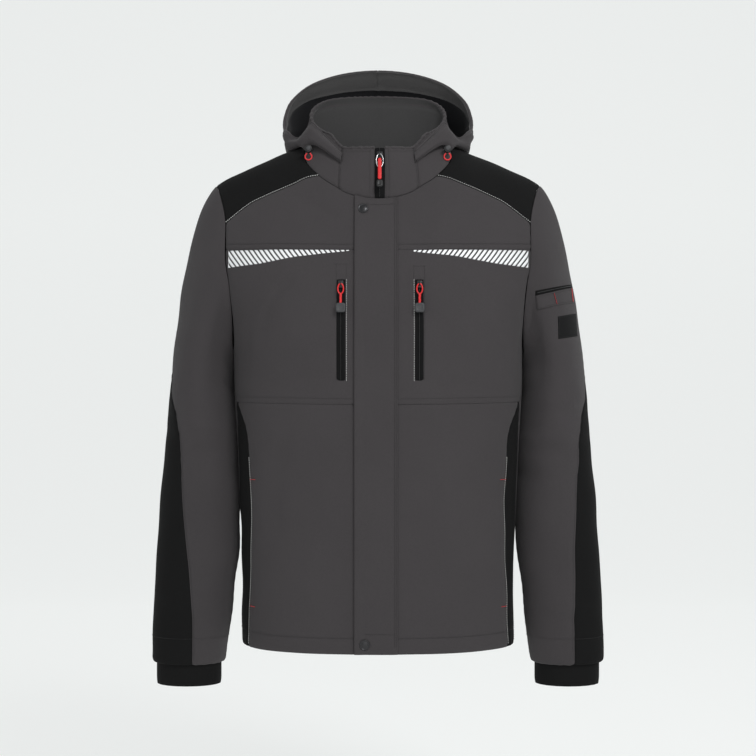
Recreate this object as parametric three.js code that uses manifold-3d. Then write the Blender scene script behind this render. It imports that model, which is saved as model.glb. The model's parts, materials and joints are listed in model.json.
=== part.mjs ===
// A hooded softshell work jacket in its worn shape, hollow, with no wearer.
// Millimetres. +Z is up, the fronts face -Y and +X is the wearer's left.
// The origin is the centre of the neck at the height of the shoulder points.
import * as THREE from "three";
import { mergeVertices } from "three/addons/utils/BufferGeometryUtils.js";
import Module from "manifold-3d";

const wasm = await Module();
wasm.setup();

// Driving sizes
const cloth = 2; // wall of bonded softshell
const thinCloth = 1.2; // zip tape, binding and label
const seamGap = 0.3;
const bodyRoundness = 2.5; // superellipse power of the body's level sections
const shoulderRoundness = 2.2; // the same for the roll over the shoulder
const frontRoll = 220; // height over which the front rolls in to the shoulder line
const backRoll = 150;
const zipCentre = 2.4;
const zipHalf = 7.3;
const armpitZ = -285;
const waistSeamZ = -355;
const hemZ = -712;
const yokeEndX = 224; // where the yoke's edges meet the armhole
const yokeNeckX = 86;
const backNeckX = 100;
const chestEndX = 223.5;
const backTopZ = -150; // level under which the back's rows are flat
const flapLeftX = -33.6;
const flapRightX = 28.3;
const snapRadius = 7.5;
const snapHeight = 1.4;
const snapCrown = 1.6;
const cuffX = 280.5;
const cuffY = -22;
const cuffHalfX = 47.8;
const cuffHalfY = 37.6;
const cuffTopZ = -734;
const cuffEndZ = -772;
const capZ = -310; // first full ring of the sleeve

// Body sections: half width at the side, depth of front and back from the side line
const bodyRows = [
  { z: 60, half: 262, front: 98, back: 94 },
  { z: 0, half: 261, front: 104, back: 102 },
  { z: -60, half: 258, front: 111, back: 108 },
  { z: -120, half: 253, front: 123, back: 116 },
  { z: -160, half: 246, front: 130, back: 121 },
  { z: -200, half: 235, front: 136, back: 125 },
  { z: -240, half: 223, front: 139, back: 127 },
  { z: -285, half: 214.5, front: 141, back: 127 },
  { z: -350, half: 211.5, front: 142, back: 124 },
  { z: -420, half: 207, front: 140, back: 121 },
  { z: -500, half: 204, front: 138, back: 121 },
  { z: -600, half: 202, front: 138, back: 125 },
  { z: -712, half: 202.5, front: 140, back: 130 },
];
// Shoulder line seen from the front
const shoulderRows = [
  { x: 0, top: 46 },
  { x: 60, top: 40 },
  { x: 109, top: 26 },
  { x: 151, top: 10.5 },
  { x: 194, top: -8 },
  { x: 221, top: -20 },
  { x: 243, top: -33 },
  { x: 262, top: -46 },
];
const neckFrontRows = [
  { x: 0, z: -61.5 },
  { x: 20, z: -60 },
  { x: 37.5, z: -55.5 },
  { x: 49, z: -51 },
  { x: 62, z: -42.4 },
  { x: 78, z: -32 },
  { x: 86, z: -25.5 },
];
const neckBackRows = [
  { x: 0, z: 19 },
  { x: 50, z: 20 },
  { x: 100, z: 22 },
];
const yokeFrontRows = [
  { x: 86, z: -25.5 },
  { x: 104, z: -29 },
  { x: 124, z: -38 },
  { x: 150, z: -49 },
  { x: 165, z: -55.6 },
  { x: 184, z: -64.5 },
  { x: 224, z: -92.6 },
];
const yokeBackRows = [
  { x: 100, z: 22 },
  { x: 150, z: -38 },
  { x: 224, z: -98 },
];
// Ends of the yoke: roll is -1 at its front edge, 0 on the shoulder line, 1 at its back edge
const yokeEndRows = [
  { roll: -1, neck: 86, arm: 224 },
  { roll: -0.85, neck: 99, arm: 227 },
  { roll: -0.7, neck: 106.5, arm: 231 },
  { roll: -0.47, neck: 109, arm: 236 },
  { roll: 0, neck: 109, arm: 243 },
  { roll: 0.5, neck: 108, arm: 236 },
  { roll: 1, neck: 100, arm: 224 },
];
const armholeFrontRows = [
  { z: -132, x: 223.5 },
  { z: -155, x: 222.5 },
  { z: -183, x: 217.5 },
  { z: -231, x: 213.5 },
  { z: -268, x: 212.6 },
  { z: -285, x: 214.5 },
];
const armholeBackRows = [
  { z: -98, x: 224 },
  { z: -150, x: 222 },
  { z: -190, x: 217.5 },
  { z: -235, x: 213.5 },
  { z: -268, x: 212.6 },
  { z: -285, x: 214.5 },
];
// Black side panel: its edges as degrees round the body from the front centre
const sidePanelRows = [
  { z: -355, front: 76, back: 79 },
  { z: -392, front: 65, back: 80 },
  { z: -430, front: 62.3, back: 81 },
  { z: -500, front: 61.2, back: 82 },
  { z: -655, front: 66, back: 83 },
  { z: -712, front: 67.3, back: 83 },
];
// Levels of the rows of the walls
const chestLevels = [-132, -160, -190, -220, -250, -272, armpitZ, -320, waistSeamZ];
const lowerLevels = [waistSeamZ, -400, -450, -505, -560, -615, -665, hemZ];
const backLevels = [backTopZ, -185, -220, -252, -274, armpitZ, -320, ...lowerLevels];
// Sleeve sections: outer and inner side, front and back, from capZ down to the turned end
const sleeveRows = [
  { z: -310, outer: 308.5, inner: 215, front: -72, back: 71 },
  { z: -350, outer: 312.5, inner: 213.5, front: -73, back: 68 },
  { z: -397, outer: 316, inner: 210.6, front: -73, back: 64 },
  { z: -450, outer: 320, inner: 208, front: -73, back: 58 },
  { z: -505, outer: 324.3, inner: 206.2, front: -73, back: 51 },
  { z: -561, outer: 327.6, inner: 205.8, front: -72, back: 43 },
  { z: -617, outer: 331.5, inner: 212.3, front: -71, back: 35 },
  { z: -675, outer: 334, inner: 218.4, front: -69, back: 29 },
  { z: -732, outer: 335.2, inner: 225.5, front: -66, back: 22 },
  { z: -738.5, outer: 333.6, inner: 227.4, front: -64.6, back: 20.6 },
  { z: -741, outer: 331, inner: 230, front: -62.2, back: 18.2 },
];
// Edges of the black sleeve panel in degrees from the outer side, forward positive
const sleevePanelRows = {
  right: [
    { z: -310, front: 14, back: 9 },
    { z: -350, front: 36, back: -6 },
    { z: -397, front: 56, back: -18 },
    { z: -450, front: 64, back: -28 },
    { z: -505, front: 70, back: -36 },
    { z: -561, front: 77, back: -42 },
    { z: -617, front: 87, back: -48 },
    { z: -675, front: 95, back: -53 },
    { z: -741, front: 100, back: -57 },
  ],
  left: [
    { z: -310, front: 10, back: 5 },
    { z: -350, front: 30, back: -8 },
    { z: -397, front: 49, back: -18 },
    { z: -450, front: 58, back: -28 },
    { z: -505, front: 65, back: -36 },
    { z: -561, front: 69, back: -42 },
    { z: -617, front: 74, back: -48 },
    { z: -675, front: 79, back: -53 },
    { z: -741, front: 83, back: -57 },
  ],
};
const elbowStop = 4.75; // where the elbow seam leaves the armhole's loop
const armpitStop = 3;
const armholeMiddleZ = -160;
const capStops = [0, 0.22, 0.45, 0.72, 1];
const capCount = capStops.length - 1;
const capStart = 0.002; // keeps the seam's gap at the armhole
const panelTip = 0.04;
const sleeveLevels = sleeveRows.map((row) => row.z);
const sleeveRowCount = capCount + sleeveLevels.length - 1;
const frontStops = [-0.25, 0, 0.25, 0.5, 0.75, 1, 1.5, 2, 2.167, 2.333, 2.5, 2.667, 2.833, 3];
const rearStops = [3, 3.125, 3.25, 3.375, 3.5, 3.625, 3.75, 3.875, 4, 4.25, 4.5, 4.75];
// Soft folds of the sleeves: place in degrees and height, half sizes and depth
const sleeveFolds = [
  { angle: 128, z: -235, wide: 20, tall: 95, deep: 7 },
  { angle: 62, z: -372, wide: 40, tall: 14, deep: 2.5 },
  { angle: 100, z: -428, wide: 38, tall: 13, deep: 3.5 },
  { angle: -95, z: -400, wide: 45, tall: 14, deep: 3 },
  { angle: 75, z: -672, wide: 45, tall: 12, deep: 2.5 },
];
// Top edge of the collar: along is 0 at the zip, 1 and 2 at the yoke's corners, 3 at the back
const collarRimRows = [
  { along: 0, x: 7.3, y: -79, z: 15 },
  { along: 0.31, x: 28, y: -75, z: 15.5 },
  { along: 0.62, x: 50, y: -64, z: 17 },
  { along: 0.8, x: 60, y: -55, z: 26 },
  { along: 1, x: 70, y: -44, z: 39 },
  { along: 1.2, x: 81, y: -27, z: 46 },
  { along: 1.5, x: 97, y: 8, z: 62 },
  { along: 1.75, x: 103, y: 28, z: 77 },
  { along: 2, x: 98, y: 46, z: 92 },
  { along: 2.3, x: 78, y: 64, z: 105 },
  { along: 2.6, x: 46, y: 76, z: 111 },
  { along: 3, x: 0, y: 80, z: 113 },
];
const collarPanelEnd = 0.66; // where the front collar panel ends
// Hood sections from the back centre round to the front corner: the seam at the neck,
// the lowest and the outermost point of the slack, and the rim
const hoodRows = [
  { at: 0, seam: [0, 74, 34], low: [0, 130, -66], out: [0, 178, 44], rim: [0, 106, 160] },
  { at: 0.14, seam: [42, 71, 34], low: [50, 126, -60], out: [60, 168, 44], rim: [56, 103, 154] },
  { at: 0.28, seam: [78, 60, 34], low: [94, 110, -42], out: [110, 140, 45], rim: [104, 92, 136] },
  { at: 0.42, seam: [102, 43, 33], low: [124, 80, -10], out: [138, 98, 45], rim: [134, 74, 108] },
  { at: 0.54, seam: [110, 26, 31], low: [134, 44, 12], out: [142, 60, 46], rim: [144, 54, 80] },
  { at: 0.64, seam: [112, 8, 30], low: [134, 16, 21], out: [142, 28, 40], rim: [144, 32, 58] },
  { at: 0.72, seam: [113, -10, 26], low: [130, -8, 21], out: [139, 0, 34], rim: [137, 4, 50] },
  { at: 0.79, seam: [112, -30, 20], low: [119, -32, 25], out: [123, -27, 31], rim: [120, -18, 38] },
  { at: 0.86, seam: [108, -46, 15], low: [110, -46, 25], out: [111, -41, 38], rim: [105, -31, 50] },
  { at: 0.9, seam: [99, -54, 22], low: [101, -53, 33], out: [101, -46, 46], rim: [97.5, -36, 58] },
  { at: 0.95, seam: [84, -64, 16], low: [85, -63, 22], out: [84.5, -59, 31], rim: [80.5, -50, 39] },
  { at: 1, seam: [54, -79, -7], low: [54.5, -78.5, -3], out: [53.5, -76, 3], rim: [52, -71, 9] },
];
const facingFrom = 0.84; // the grey facing covers the last part of the hood's inside
const liningEnd = 0.8;
const hoodEnds = [0.84, 0.88, 0.92, 0.96, 1]; // columns of the hood in front of the lining
const facingRows = [0.84, 0.92, 1];
const collarBow = 3;
const lugRadius = 1.9;
const lugWire = 0.7;
const hingeHeight = 1.5;
const pullWire = 0.8;
const sliderThick = 2;
const sliderCorner = 1.5;
const chestSliderZ = -187;
const chestPull = {
  slider: [7.6, 10],
  loop: [4, 7.2],
  cordRadius: 1.6,
  cordLong: 13.2,
  cordMiddle: -20.4,
  tab: [14.5, 14, 4, 4], // width, height, depth and corner radius
  tabPlace: [-34.3, -2], // up and out from the hinge
};
const neckPull = {
  slider: [8.6, 10],
  loop: [5, 10.5],
  strap: [5.4, 34, 2.6, 2.4],
  strapPlace: [-24.6, 1.15],
  tab: [9.5, 11.4, 4, 3],
  tabPlace: [-47.6, -0.6],
};
const neckSliderPart = 0.84;
const zipLevels = [-180, -190, -220, -250, -272, armpitZ, -323.8];
const snaps = [
  { name: "top", x: -21.4, v: 0.0385 },
  { name: "bottom", x: -18.8, v: 0.983 },
];
const lockX = 101.8;
const lockY = -54.5;
const lockZ = 15;
const lockRadius = 5.4;
const lockLong = 8;
const lockCapRadius = 3.2;
const lockCapLong = 2;
const lockCapGap = 0.3;
const lockLean = 0.1; // how far the locks look up
const cordRadius = 1;
const cordSides = 8;
const cordSteps = 14;
const cordDrop = 4; // how far in front of the locks' seats the loop hangs
const wireSides = 6;
const wireSteps = 16;
// The hood cord's loop at each lock, sideways and up from the lock's middle
const cordLoop = [
  [-2, -5.8], [-3.3, -7], [-4.4, -8.6], [-4.9, -10.4], [-4.7, -12.3], [-3.8, -13.9], [-2.4, -15],
  [-0.8, -15.6], [0.8, -15.6], [2.4, -15], [3.8, -13.9], [4.7, -12.3], [4.9, -10.4], [4.4, -8.6],
  [3.3, -7], [2, -5.8],
];
// Pieces laid on the front of the left sleeve, by their outlines seen from the front
const sleeveLaid = [
  {
    name: "pocket_opening",
    colour: "black",
    outline: [[229.4, -193], [257, -187.5], [290.8, -180.2], [291.4, -185], [257, -193.5], [229.2, -200]],
  },
  {
    name: "pocket_patch",
    colour: "grey",
    outline: [
      [229.4, -200.4], [257, -193.9], [291.6, -185.4], [292.2, -208.5], [258.4, -214.6], [232.2, -221.2],
    ],
  },
  {
    name: "sleeve_label",
    colour: "black",
    outline: [[262.3, -230.5], [293.4, -224.6], [294.4, -258.3], [262.9, -263.1]],
  },
];
const laidFrontY = -120;
const laidBackY = -4;
const chestZips = [
  { name: "right", x0: -58.7, x1: -46.4 },
  { name: "left", x0: 52.6, x1: 64.7 },
];

const colours = {
  grey: 0x444245,
  black: 0x1c1c1d,
  inner: 0x39383a,
  red: 0xd8262a,
  steel: 0x9a9a9c,
  gunmetal: 0x4a4a4d,
  rubber: 0x5d5d60,
};

// Curves and small vector helpers
const vec = (x, y, z) => new THREE.Vector3(x, y, z);
const mix = (a, b, t) => a + (b - a) * t;
const limit = (t, low = 0, high = 1) => Math.min(high, Math.max(low, t));
const radians = (degrees) => (degrees * Math.PI) / 180;
const power = (value, exponent) => Math.sign(value) * Math.abs(value) ** exponent;

// A smooth curve through one column of a table, flat past its ends
function column(rows, key, value, at) {
  const last = rows.length - 1;
  const way = Math.sign(rows[last][key] - rows[0][key]);
  if ((at - rows[0][key]) * way <= 0) return rows[0][value];
  if ((at - rows[last][key]) * way >= 0) return rows[last][value];
  let i = 0;
  while ((at - rows[i + 1][key]) * way > 0) i += 1;
  const slope = (j) => {
    const a = rows[Math.max(j - 1, 0)];
    const b = rows[Math.min(j + 1, last)];
    return (b[value] - a[value]) / (b[key] - a[key]);
  };
  const span = rows[i + 1][key] - rows[i][key];
  const t = (at - rows[i][key]) / span;
  const bend = t * t * (3 - 2 * t);
  const start = slope(i) * span * t * (1 - t) * (1 - t);
  const end = slope(i + 1) * span * t * t * (1 - t);
  return mix(rows[i][value], rows[i + 1][value], bend) + start - end;
}

// A level from a list, read at a part of the way along it
function level(levels, part) {
  const place = limit(part) * (levels.length - 1);
  const i = Math.min(Math.floor(place), levels.length - 2);
  return mix(levels[i], levels[i + 1], place - i);
}

// The body's surface
const half = (z) => column(bodyRows, "z", "half", z);
const shoulder = (x) => column(shoulderRows, "x", "top", Math.abs(x));

function bodyPoint(face, x, z) {
  const roll = face === "front" ? frontRoll : backRoll;
  const sign = face === "front" ? -1 : 1;
  const across = limit(1 - (Math.abs(x) / half(z)) ** bodyRoundness) ** (1 / bodyRoundness);
  const drop = limit((shoulder(x) - z) / roll);
  const over = (1 - (1 - drop) ** shoulderRoundness) ** (1 / shoulderRoundness);
  return vec(x, sign * column(bodyRows, "z", face, z) * across * over, z);
}

// Degrees round the body from the front centre, 90 at the side
function bodyAround(degrees, z) {
  const angle = radians(degrees);
  const x = half(z) * power(Math.sin(angle), 2 / bodyRoundness);
  return bodyPoint(Math.cos(angle) >= 0 ? "front" : "back", x, z);
}

const degreesAt = (x, z) =>
  (Math.asin(limit(Math.abs(x) / half(z)) ** (bodyRoundness / 2)) * 180) / Math.PI;

// The yoke's surface: x across and roll from its front edge over to its back edge
function yokePoint(x, roll) {
  const face = roll < 0 ? "front" : "back";
  const height = roll < 0 ? frontRoll : backRoll;
  const rows = roll < 0 ? yokeFrontRows : yokeBackRows;
  const edge = limit((shoulder(x) - column(rows, "x", "z", x)) / height);
  const turn = Math.acos((1 - edge) ** (shoulderRoundness / 2)) * Math.abs(roll);
  const z = shoulder(x) - height * (1 - Math.cos(turn) ** (2 / shoulderRoundness));
  return bodyPoint(face, x, z);
}

// A closed wall from a grid of outer points and a grid of inner points
function wall(outer, inner, ring = false) {
  const rows = outer.length;
  const columns = outer[0].length;
  const positions = [...outer.flat(), ...inner.flat()].flatMap((p) => [p.x, p.y, p.z]);
  const outside = (i, j) => i * columns + (j % columns);
  const inside = (i, j) => rows * columns + outside(i, j);
  const faces = [];
  const quad = (a, b, c, d) => faces.push(a, b, c, a, c, d);
  const cells = ring ? columns : columns - 1;
  for (let i = 0; i < rows - 1; i += 1) {
    for (let j = 0; j < cells; j += 1) {
      quad(outside(i, j), outside(i, j + 1), outside(i + 1, j + 1), outside(i + 1, j));
      quad(inside(i, j), inside(i + 1, j), inside(i + 1, j + 1), inside(i, j + 1));
    }
    if (!ring) {
      quad(outside(i, 0), outside(i + 1, 0), inside(i + 1, 0), inside(i, 0));
      quad(inside(i, cells), inside(i + 1, cells), outside(i + 1, cells), outside(i, cells));
    }
  }
  for (let j = 0; j < cells; j += 1) {
    quad(outside(0, j + 1), outside(0, j), inside(0, j), inside(0, j + 1));
    quad(inside(rows - 1, j + 1), inside(rows - 1, j), outside(rows - 1, j), outside(rows - 1, j + 1));
  }
  return facingOut(positions, faces);
}

// The faces turned to point outwards, by the sign of the volume that they enclose
function facingOut(positions, faces) {
  const at = (i) => vec(positions[3 * i], positions[3 * i + 1], positions[3 * i + 2]);
  let volume = 0;
  for (let i = 0; i < faces.length; i += 3) {
    volume += at(faces[i]).dot(at(faces[i + 1]).cross(at(faces[i + 2])));
  }
  const turned = volume < 0 ? [...faces].reverse() : faces;
  const geometry = new THREE.BufferGeometry();
  geometry.setAttribute("position", new THREE.Float32BufferAttribute(positions, 3));
  geometry.setIndex(turned);
  return geometry;
}

// Unit vector square to a surface given as a function of u and v
function square(surface, u, v) {
  const step = 0.004;
  const across = surface(u + step, v).sub(surface(u - step, v));
  const along = surface(u, v + step).sub(surface(u, v - step));
  return across.cross(along).normalize();
}

// 1 or -1: which way of that vector leads away from the middle of the form
function outwardSign(surface, middle) {
  const here = surface(0.5, 0.5);
  return square(surface, 0.5, 0.5).dot(here.clone().sub(middle(here))) < 0 ? -1 : 1;
}

// A patch of cloth on a surface, its edges drawn back by half the seam's gap
function patch(surface, us, vs, middle, options = {}) {
  const { lift = 0, thick = cloth, ring = false, open = [], gap = seamGap } = options;
  const skin = vs.map((v) => us.map((u) => surface(u, v)));
  const sign = outwardSign(surface, middle);
  const normals = vs.map((v) => us.map((u) => square(surface, u, v).multiplyScalar(sign)));
  const lastRow = vs.length - 1;
  const lastColumn = us.length - 1;
  const moved = skin.map((row) => row.map((p) => p.clone()));
  const draw = (i, j, inI, inJ, alongA, alongB) => {
    const tangent = alongB.clone().sub(alongA).normalize();
    const pull = skin[inI][inJ].clone().sub(skin[i][j]);
    pull.addScaledVector(tangent, -pull.dot(tangent)).normalize();
    moved[i][j].addScaledVector(pull, gap / 2);
  };
  if (!ring) {
    for (let i = 0; i <= lastRow; i += 1) {
      const above = Math.max(i - 1, 0);
      const below = Math.min(i + 1, lastRow);
      if (!open.includes("start")) draw(i, 0, i, 1, skin[above][0], skin[below][0]);
      if (!open.includes("end"))
        draw(i, lastColumn, i, lastColumn - 1, skin[above][lastColumn], skin[below][lastColumn]);
    }
  }
  for (let j = 0; j <= lastColumn; j += 1) {
    const before = ring ? (j + lastColumn) % (lastColumn + 1) : Math.max(j - 1, 0);
    const after = ring ? (j + 1) % (lastColumn + 1) : Math.min(j + 1, lastColumn);
    if (!open.includes("top")) draw(0, j, 1, j, skin[0][before], skin[0][after]);
    if (!open.includes("bottom"))
      draw(lastRow, j, lastRow - 1, j, skin[lastRow][before], skin[lastRow][after]);
  }
  const at = (i, j, height) => moved[i][j].clone().addScaledVector(normals[i][j], height);
  const outer = moved.map((row, i) => row.map((p, j) => at(i, j, lift)));
  const inner = moved.map((row, i) => row.map((p, j) => at(i, j, lift - thick)));
  return wall(outer, inner, ring);
}

const steps = (count) => Array.from({ length: count + 1 }, (_, i) => i / count);
const bodyMiddle = (p) => vec(p.x * 0.3, 0, Math.min(p.z, -90) - 0.1);

const jacket = new THREE.Group();
jacket.name = "softshell_jacket";

function add(name, geometry, colour, roughness = 0.85, metalness = 0) {
  const material = new THREE.MeshStandardMaterial({ color: colour, roughness, metalness });
  const mesh = new THREE.Mesh(geometry, material);
  mesh.name = name;
  jacket.add(mesh);
}

// Solids for joining and cutting, and back to a geometry
function solid(part) {
  const bare = part.index ? part.toNonIndexed() : part.clone();
  bare.deleteAttribute("normal");
  bare.deleteAttribute("uv");
  const merged = mergeVertices(bare, 1e-4);
  const vertProperties = new Float32Array(merged.attributes.position.array);
  const triVerts = new Uint32Array(merged.index.array);
  return new wasm.Manifold(new wasm.Mesh({ numProp: 3, vertProperties, triVerts }));
}

function fromSolid(made) {
  const whole = made.getMesh();
  const geometry = new THREE.BufferGeometry();
  geometry.setAttribute("position", new THREE.Float32BufferAttribute(whole.vertProperties, 3));
  geometry.setIndex([...whole.triVerts]);
  return geometry;
}

const join = (parts) => fromSolid(parts.map(solid).reduce((a, b) => a.add(b)));

// The wearer's sides: the wearer's right is at -X
const sides = [
  { name: "right", sign: -1 },
  { name: "left", sign: 1 },
];
const zipEdge = (side) => zipCentre + side.sign * zipHalf;
const mirrored = (side, p) => vec(side.sign * p.x, p.y, p.z);

// Fronts, yokes, side panels and back
const innerPart = 3 / 8; // share of a front's columns that end at the neck

const chestSeamZ = (part) => mix(-137, chestLevels[0], part);

function chestSeamX(side, u) {
  const start = side.sign * zipEdge(side);
  if (u < innerPart) return mix(start, yokeNeckX, u / innerPart);
  return mix(yokeNeckX, chestEndX, (u - innerPart) / (1 - innerPart));
}

function frontTop(side, u) {
  const start = side.sign * zipEdge(side);
  if (u < innerPart) {
    const x = mix(start, yokeNeckX, u / innerPart);
    return { x, z: column(neckFrontRows, "x", "z", x) };
  }
  const x = mix(yokeNeckX, yokeEndX, (u - innerPart) / (1 - innerPart));
  return { x, z: column(yokeFrontRows, "x", "z", x) };
}

// Share of the way round the front at the chest seam, kept in the rows below
function frontShare(side, u) {
  const start = degreesAt(zipEdge(side), chestLevels[0]);
  const end = degreesAt(chestEndX, chestLevels[0]);
  return (degreesAt(chestSeamX(side, u), chestLevels[0]) - start) / (end - start);
}

function frontUpper(side) {
  return (u, v) => {
    const top = frontTop(side, u);
    const x = mix(top.x, chestSeamX(side, u), v);
    const z = mix(top.z, chestSeamZ(frontShare(side, u)), v);
    return mirrored(side, bodyPoint("front", x, z));
  };
}

function frontAround(side, share, z, edge, sag) {
  const centre = degreesAt(zipEdge(side), z);
  return mirrored(side, bodyAround(mix(centre, edge, share), z + sag * (1 - share)));
}

function chestEdge(z) {
  if (z < armpitZ) return mix(90, 79, limit((armpitZ - z) / (armpitZ - waistSeamZ)));
  return degreesAt(column(armholeFrontRows, "z", "x", z), z);
}

function frontMiddle(side) {
  return (u, v) => {
    const z = level(chestLevels, v);
    return frontAround(side, frontShare(side, u), z, chestEdge(z), mix(-5, -3, v));
  };
}

const sideEdge = (z, which) => column(sidePanelRows, "z", which, z);

function frontLower(side) {
  return (u, v) => {
    const z = level(lowerLevels, v);
    return frontAround(side, frontShare(side, u), z, sideEdge(z, "front"), mix(-3, 0, v));
  };
}

function sidePanel(side) {
  return (u, v) => {
    const z = level(lowerLevels, v);
    const degrees = mix(sideEdge(z, "front"), sideEdge(z, "back"), u);
    return mirrored(side, bodyAround(degrees, z));
  };
}

function yoke(side) {
  return (u, v) => {
    const roll = mix(-1, 1, v);
    const neck = column(yokeEndRows, "roll", "neck", roll);
    const arm = column(yokeEndRows, "roll", "arm", roll);
    return mirrored(side, yokePoint(mix(neck, arm, u), roll));
  };
}

// Degrees from the back centre to the back's side edge
function backEdge(z) {
  if (z >= armpitZ) return degreesAt(column(armholeBackRows, "z", "x", z), z);
  if (z >= waistSeamZ) return 180 - chestEdge(z);
  return 180 - sideEdge(z, "back");
}

const backCorner = 5 / 16; // share of the back's columns under each yoke

function backTopX(u) {
  if (u < backCorner) return mix(-yokeEndX, -backNeckX, u / backCorner);
  if (u > 1 - backCorner) return mix(backNeckX, yokeEndX, (u - 1 + backCorner) / backCorner);
  return mix(-backNeckX, backNeckX, (u - backCorner) / (1 - 2 * backCorner));
}

function backAround(u, z) {
  const x = backTopX(u);
  const share = (Math.sign(x) * degreesAt(x, -98)) / degreesAt(yokeEndX, -98);
  const degrees = 180 - Math.abs(share) * backEdge(z);
  return mirrored({ sign: Math.sign(x) || 1 }, bodyAround(degrees, z));
}

const backTopRows = 3;
const backRowCount = backTopRows + backLevels.length - 1;

function back(u, v) {
  const place = v * backRowCount;
  if (place >= backTopRows) {
    return backAround(u, level(backLevels, (place - backTopRows) / (backLevels.length - 1)));
  }
  const part = place / backTopRows;
  const x = backTopX(u);
  const rows = Math.abs(x) < backNeckX ? neckBackRows : yokeBackRows;
  const under = backAround(u, backTopZ);
  return bodyPoint("back", mix(x, under.x, part), mix(column(rows, "x", "z", Math.abs(x)), under.z, part));
}

for (const side of sides) {
  const piece = (name, surface, us, vs, colour) =>
    add(`${name}_${side.name}`, patch(surface(side), us, vs, bodyMiddle), colour);
  piece("yoke", yoke, steps(5), steps(8), colours.black);
  piece("front_upper", frontUpper, steps(8), steps(3), colours.grey);
  piece("front_middle", frontMiddle, steps(8), steps(chestLevels.length - 1), colours.grey);
  piece("front_lower", frontLower, steps(8), steps(lowerLevels.length - 1), colours.grey);
  piece("side_panel", sidePanel, steps(3), steps(lowerLevels.length - 1), colours.black);
}
add("back", patch(back, steps(16), steps(backRowCount), bodyMiddle), colours.grey);

// Storm flap and the zip tape behind it, row for row with the fronts
function frontLevel(x, v) {
  const counts = [3, chestLevels.length - 1, lowerLevels.length - 1];
  const place = v * (counts[0] + counts[1] + counts[2]);
  if (place < counts[0]) {
    return mix(column(neckFrontRows, "x", "z", Math.abs(x)), -137, place / counts[0]);
  }
  const middle = (place - counts[0]) / counts[1];
  if (middle < 1) return level(chestLevels, middle) + mix(-5, -3, middle);
  const lower = (place - counts[0] - counts[1]) / counts[2];
  return level(lowerLevels, lower) + mix(-3, 0, lower);
}

const frontRowCount = 3 + chestLevels.length - 1 + lowerLevels.length - 1;
const strip = (x0, x1) => (u, v) => {
  const x = mix(x0, x1, u);
  return bodyPoint("front", x, frontLevel(x, v));
};
add(
  "storm_flap",
  patch(strip(flapLeftX, flapRightX), steps(4), steps(frontRowCount), bodyMiddle, { lift: seamGap + cloth }),
  colours.grey,
);
add(
  "front_zip",
  patch(strip(zipEdge(sides[0]), zipEdge(sides[1])), steps(2), steps(frontRowCount), bodyMiddle, {
    lift: -0.3,
    thick: thinCloth,
  }),
  colours.black,
);

// The armhole as one loop: 0 on the shoulder, 1 and 2 down the front, 3 in the armpit, 5 back on top
function armhole(along) {
  if (along <= 1) return yokePoint(column(yokeEndRows, "roll", "arm", -along), -along);
  if (along <= 2) {
    const x = mix(yokeEndX, chestEndX, along - 1);
    return bodyPoint("front", x, mix(column(yokeFrontRows, "x", "z", yokeEndX), chestLevels[0], along - 1));
  }
  if (along <= 3) {
    const z = level(chestLevels.slice(0, 7), along - 2);
    return bodyAround(chestEdge(z), z);
  }
  if (along <= 4) {
    const place = (4 - along) * 8;
    if (place > 3) {
      const z = level(backLevels.slice(0, 6), (place - 3) / 5);
      return bodyPoint("back", column(armholeBackRows, "z", "x", z), z);
    }
    const x = mix(yokeEndX, 222, place / 3);
    return bodyPoint("back", x, mix(column(yokeBackRows, "x", "z", yokeEndX), backTopZ, place / 3));
  }
  return yokePoint(column(yokeEndRows, "roll", "arm", 5 - along), 5 - along);
}

// Degrees round the sleeve, 0 at the outer side and 90 in front, of a point of the armhole
function sleeveDegrees(along) {
  const p = armhole(along < 0 ? along + 5 : along);
  const degrees = (Math.atan2(-p.y, p.z - armholeMiddleZ) * 180) / Math.PI;
  if (Math.abs(along - armpitStop) < 1e-9) return 180;
  return along > armpitStop ? degrees + 360 : degrees;
}

function sleeveRing(degrees, z) {
  const at = (name) => column(sleeveRows, "z", name, z);
  const angle = radians(degrees);
  const x = (at("outer") + at("inner")) / 2 + ((at("outer") - at("inner")) / 2) * Math.cos(angle);
  const y = (at("front") + at("back")) / 2 - ((at("back") - at("front")) / 2) * Math.sin(angle);
  return vec(x, y, z);
}

// The cap of the sleeve: a curve from the armhole out and down to the first full ring
function sleeveCap(start, degrees, t) {
  const end = sleeveRing(degrees, capZ);
  const below = sleeveRing(degrees, capZ - 20).sub(end).multiplyScalar(1 / 20);
  const reach = end.distanceTo(start);
  const outer = (1 + Math.cos(radians(degrees))) / 2;
  const leave = vec(
    0.05 + 0.32 * Math.sqrt(outer),
    -0.12 * Math.sin(radians(degrees)),
    -0.32 - 0.58 * (1 - outer) ** 2,
  );
  const point = start.clone().multiplyScalar(2 * t ** 3 - 3 * t ** 2 + 1);
  point.addScaledVector(leave, reach * (t ** 3 - 2 * t ** 2 + t));
  point.addScaledVector(end, 3 * t ** 2 - 2 * t ** 3);
  return point.addScaledVector(below, 1.05 * reach * (t ** 3 - t ** 2));
}

// The soft folds press the sleeve in, fading out towards the armhole
function folded(p, degrees, fade) {
  const around = ((degrees + 180) % 360) - 180;
  let depth = 0;
  for (const fold of sleeveFolds) {
    const a = (around - fold.angle) / fold.wide;
    const b = (p.z - fold.z) / fold.tall;
    depth += fade * fold.deep * Math.exp(-a * a - b * b);
  }
  const angle = radians(degrees);
  return vec(p.x - depth * Math.cos(angle), p.y + depth * Math.sin(angle), p.z);
}

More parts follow.
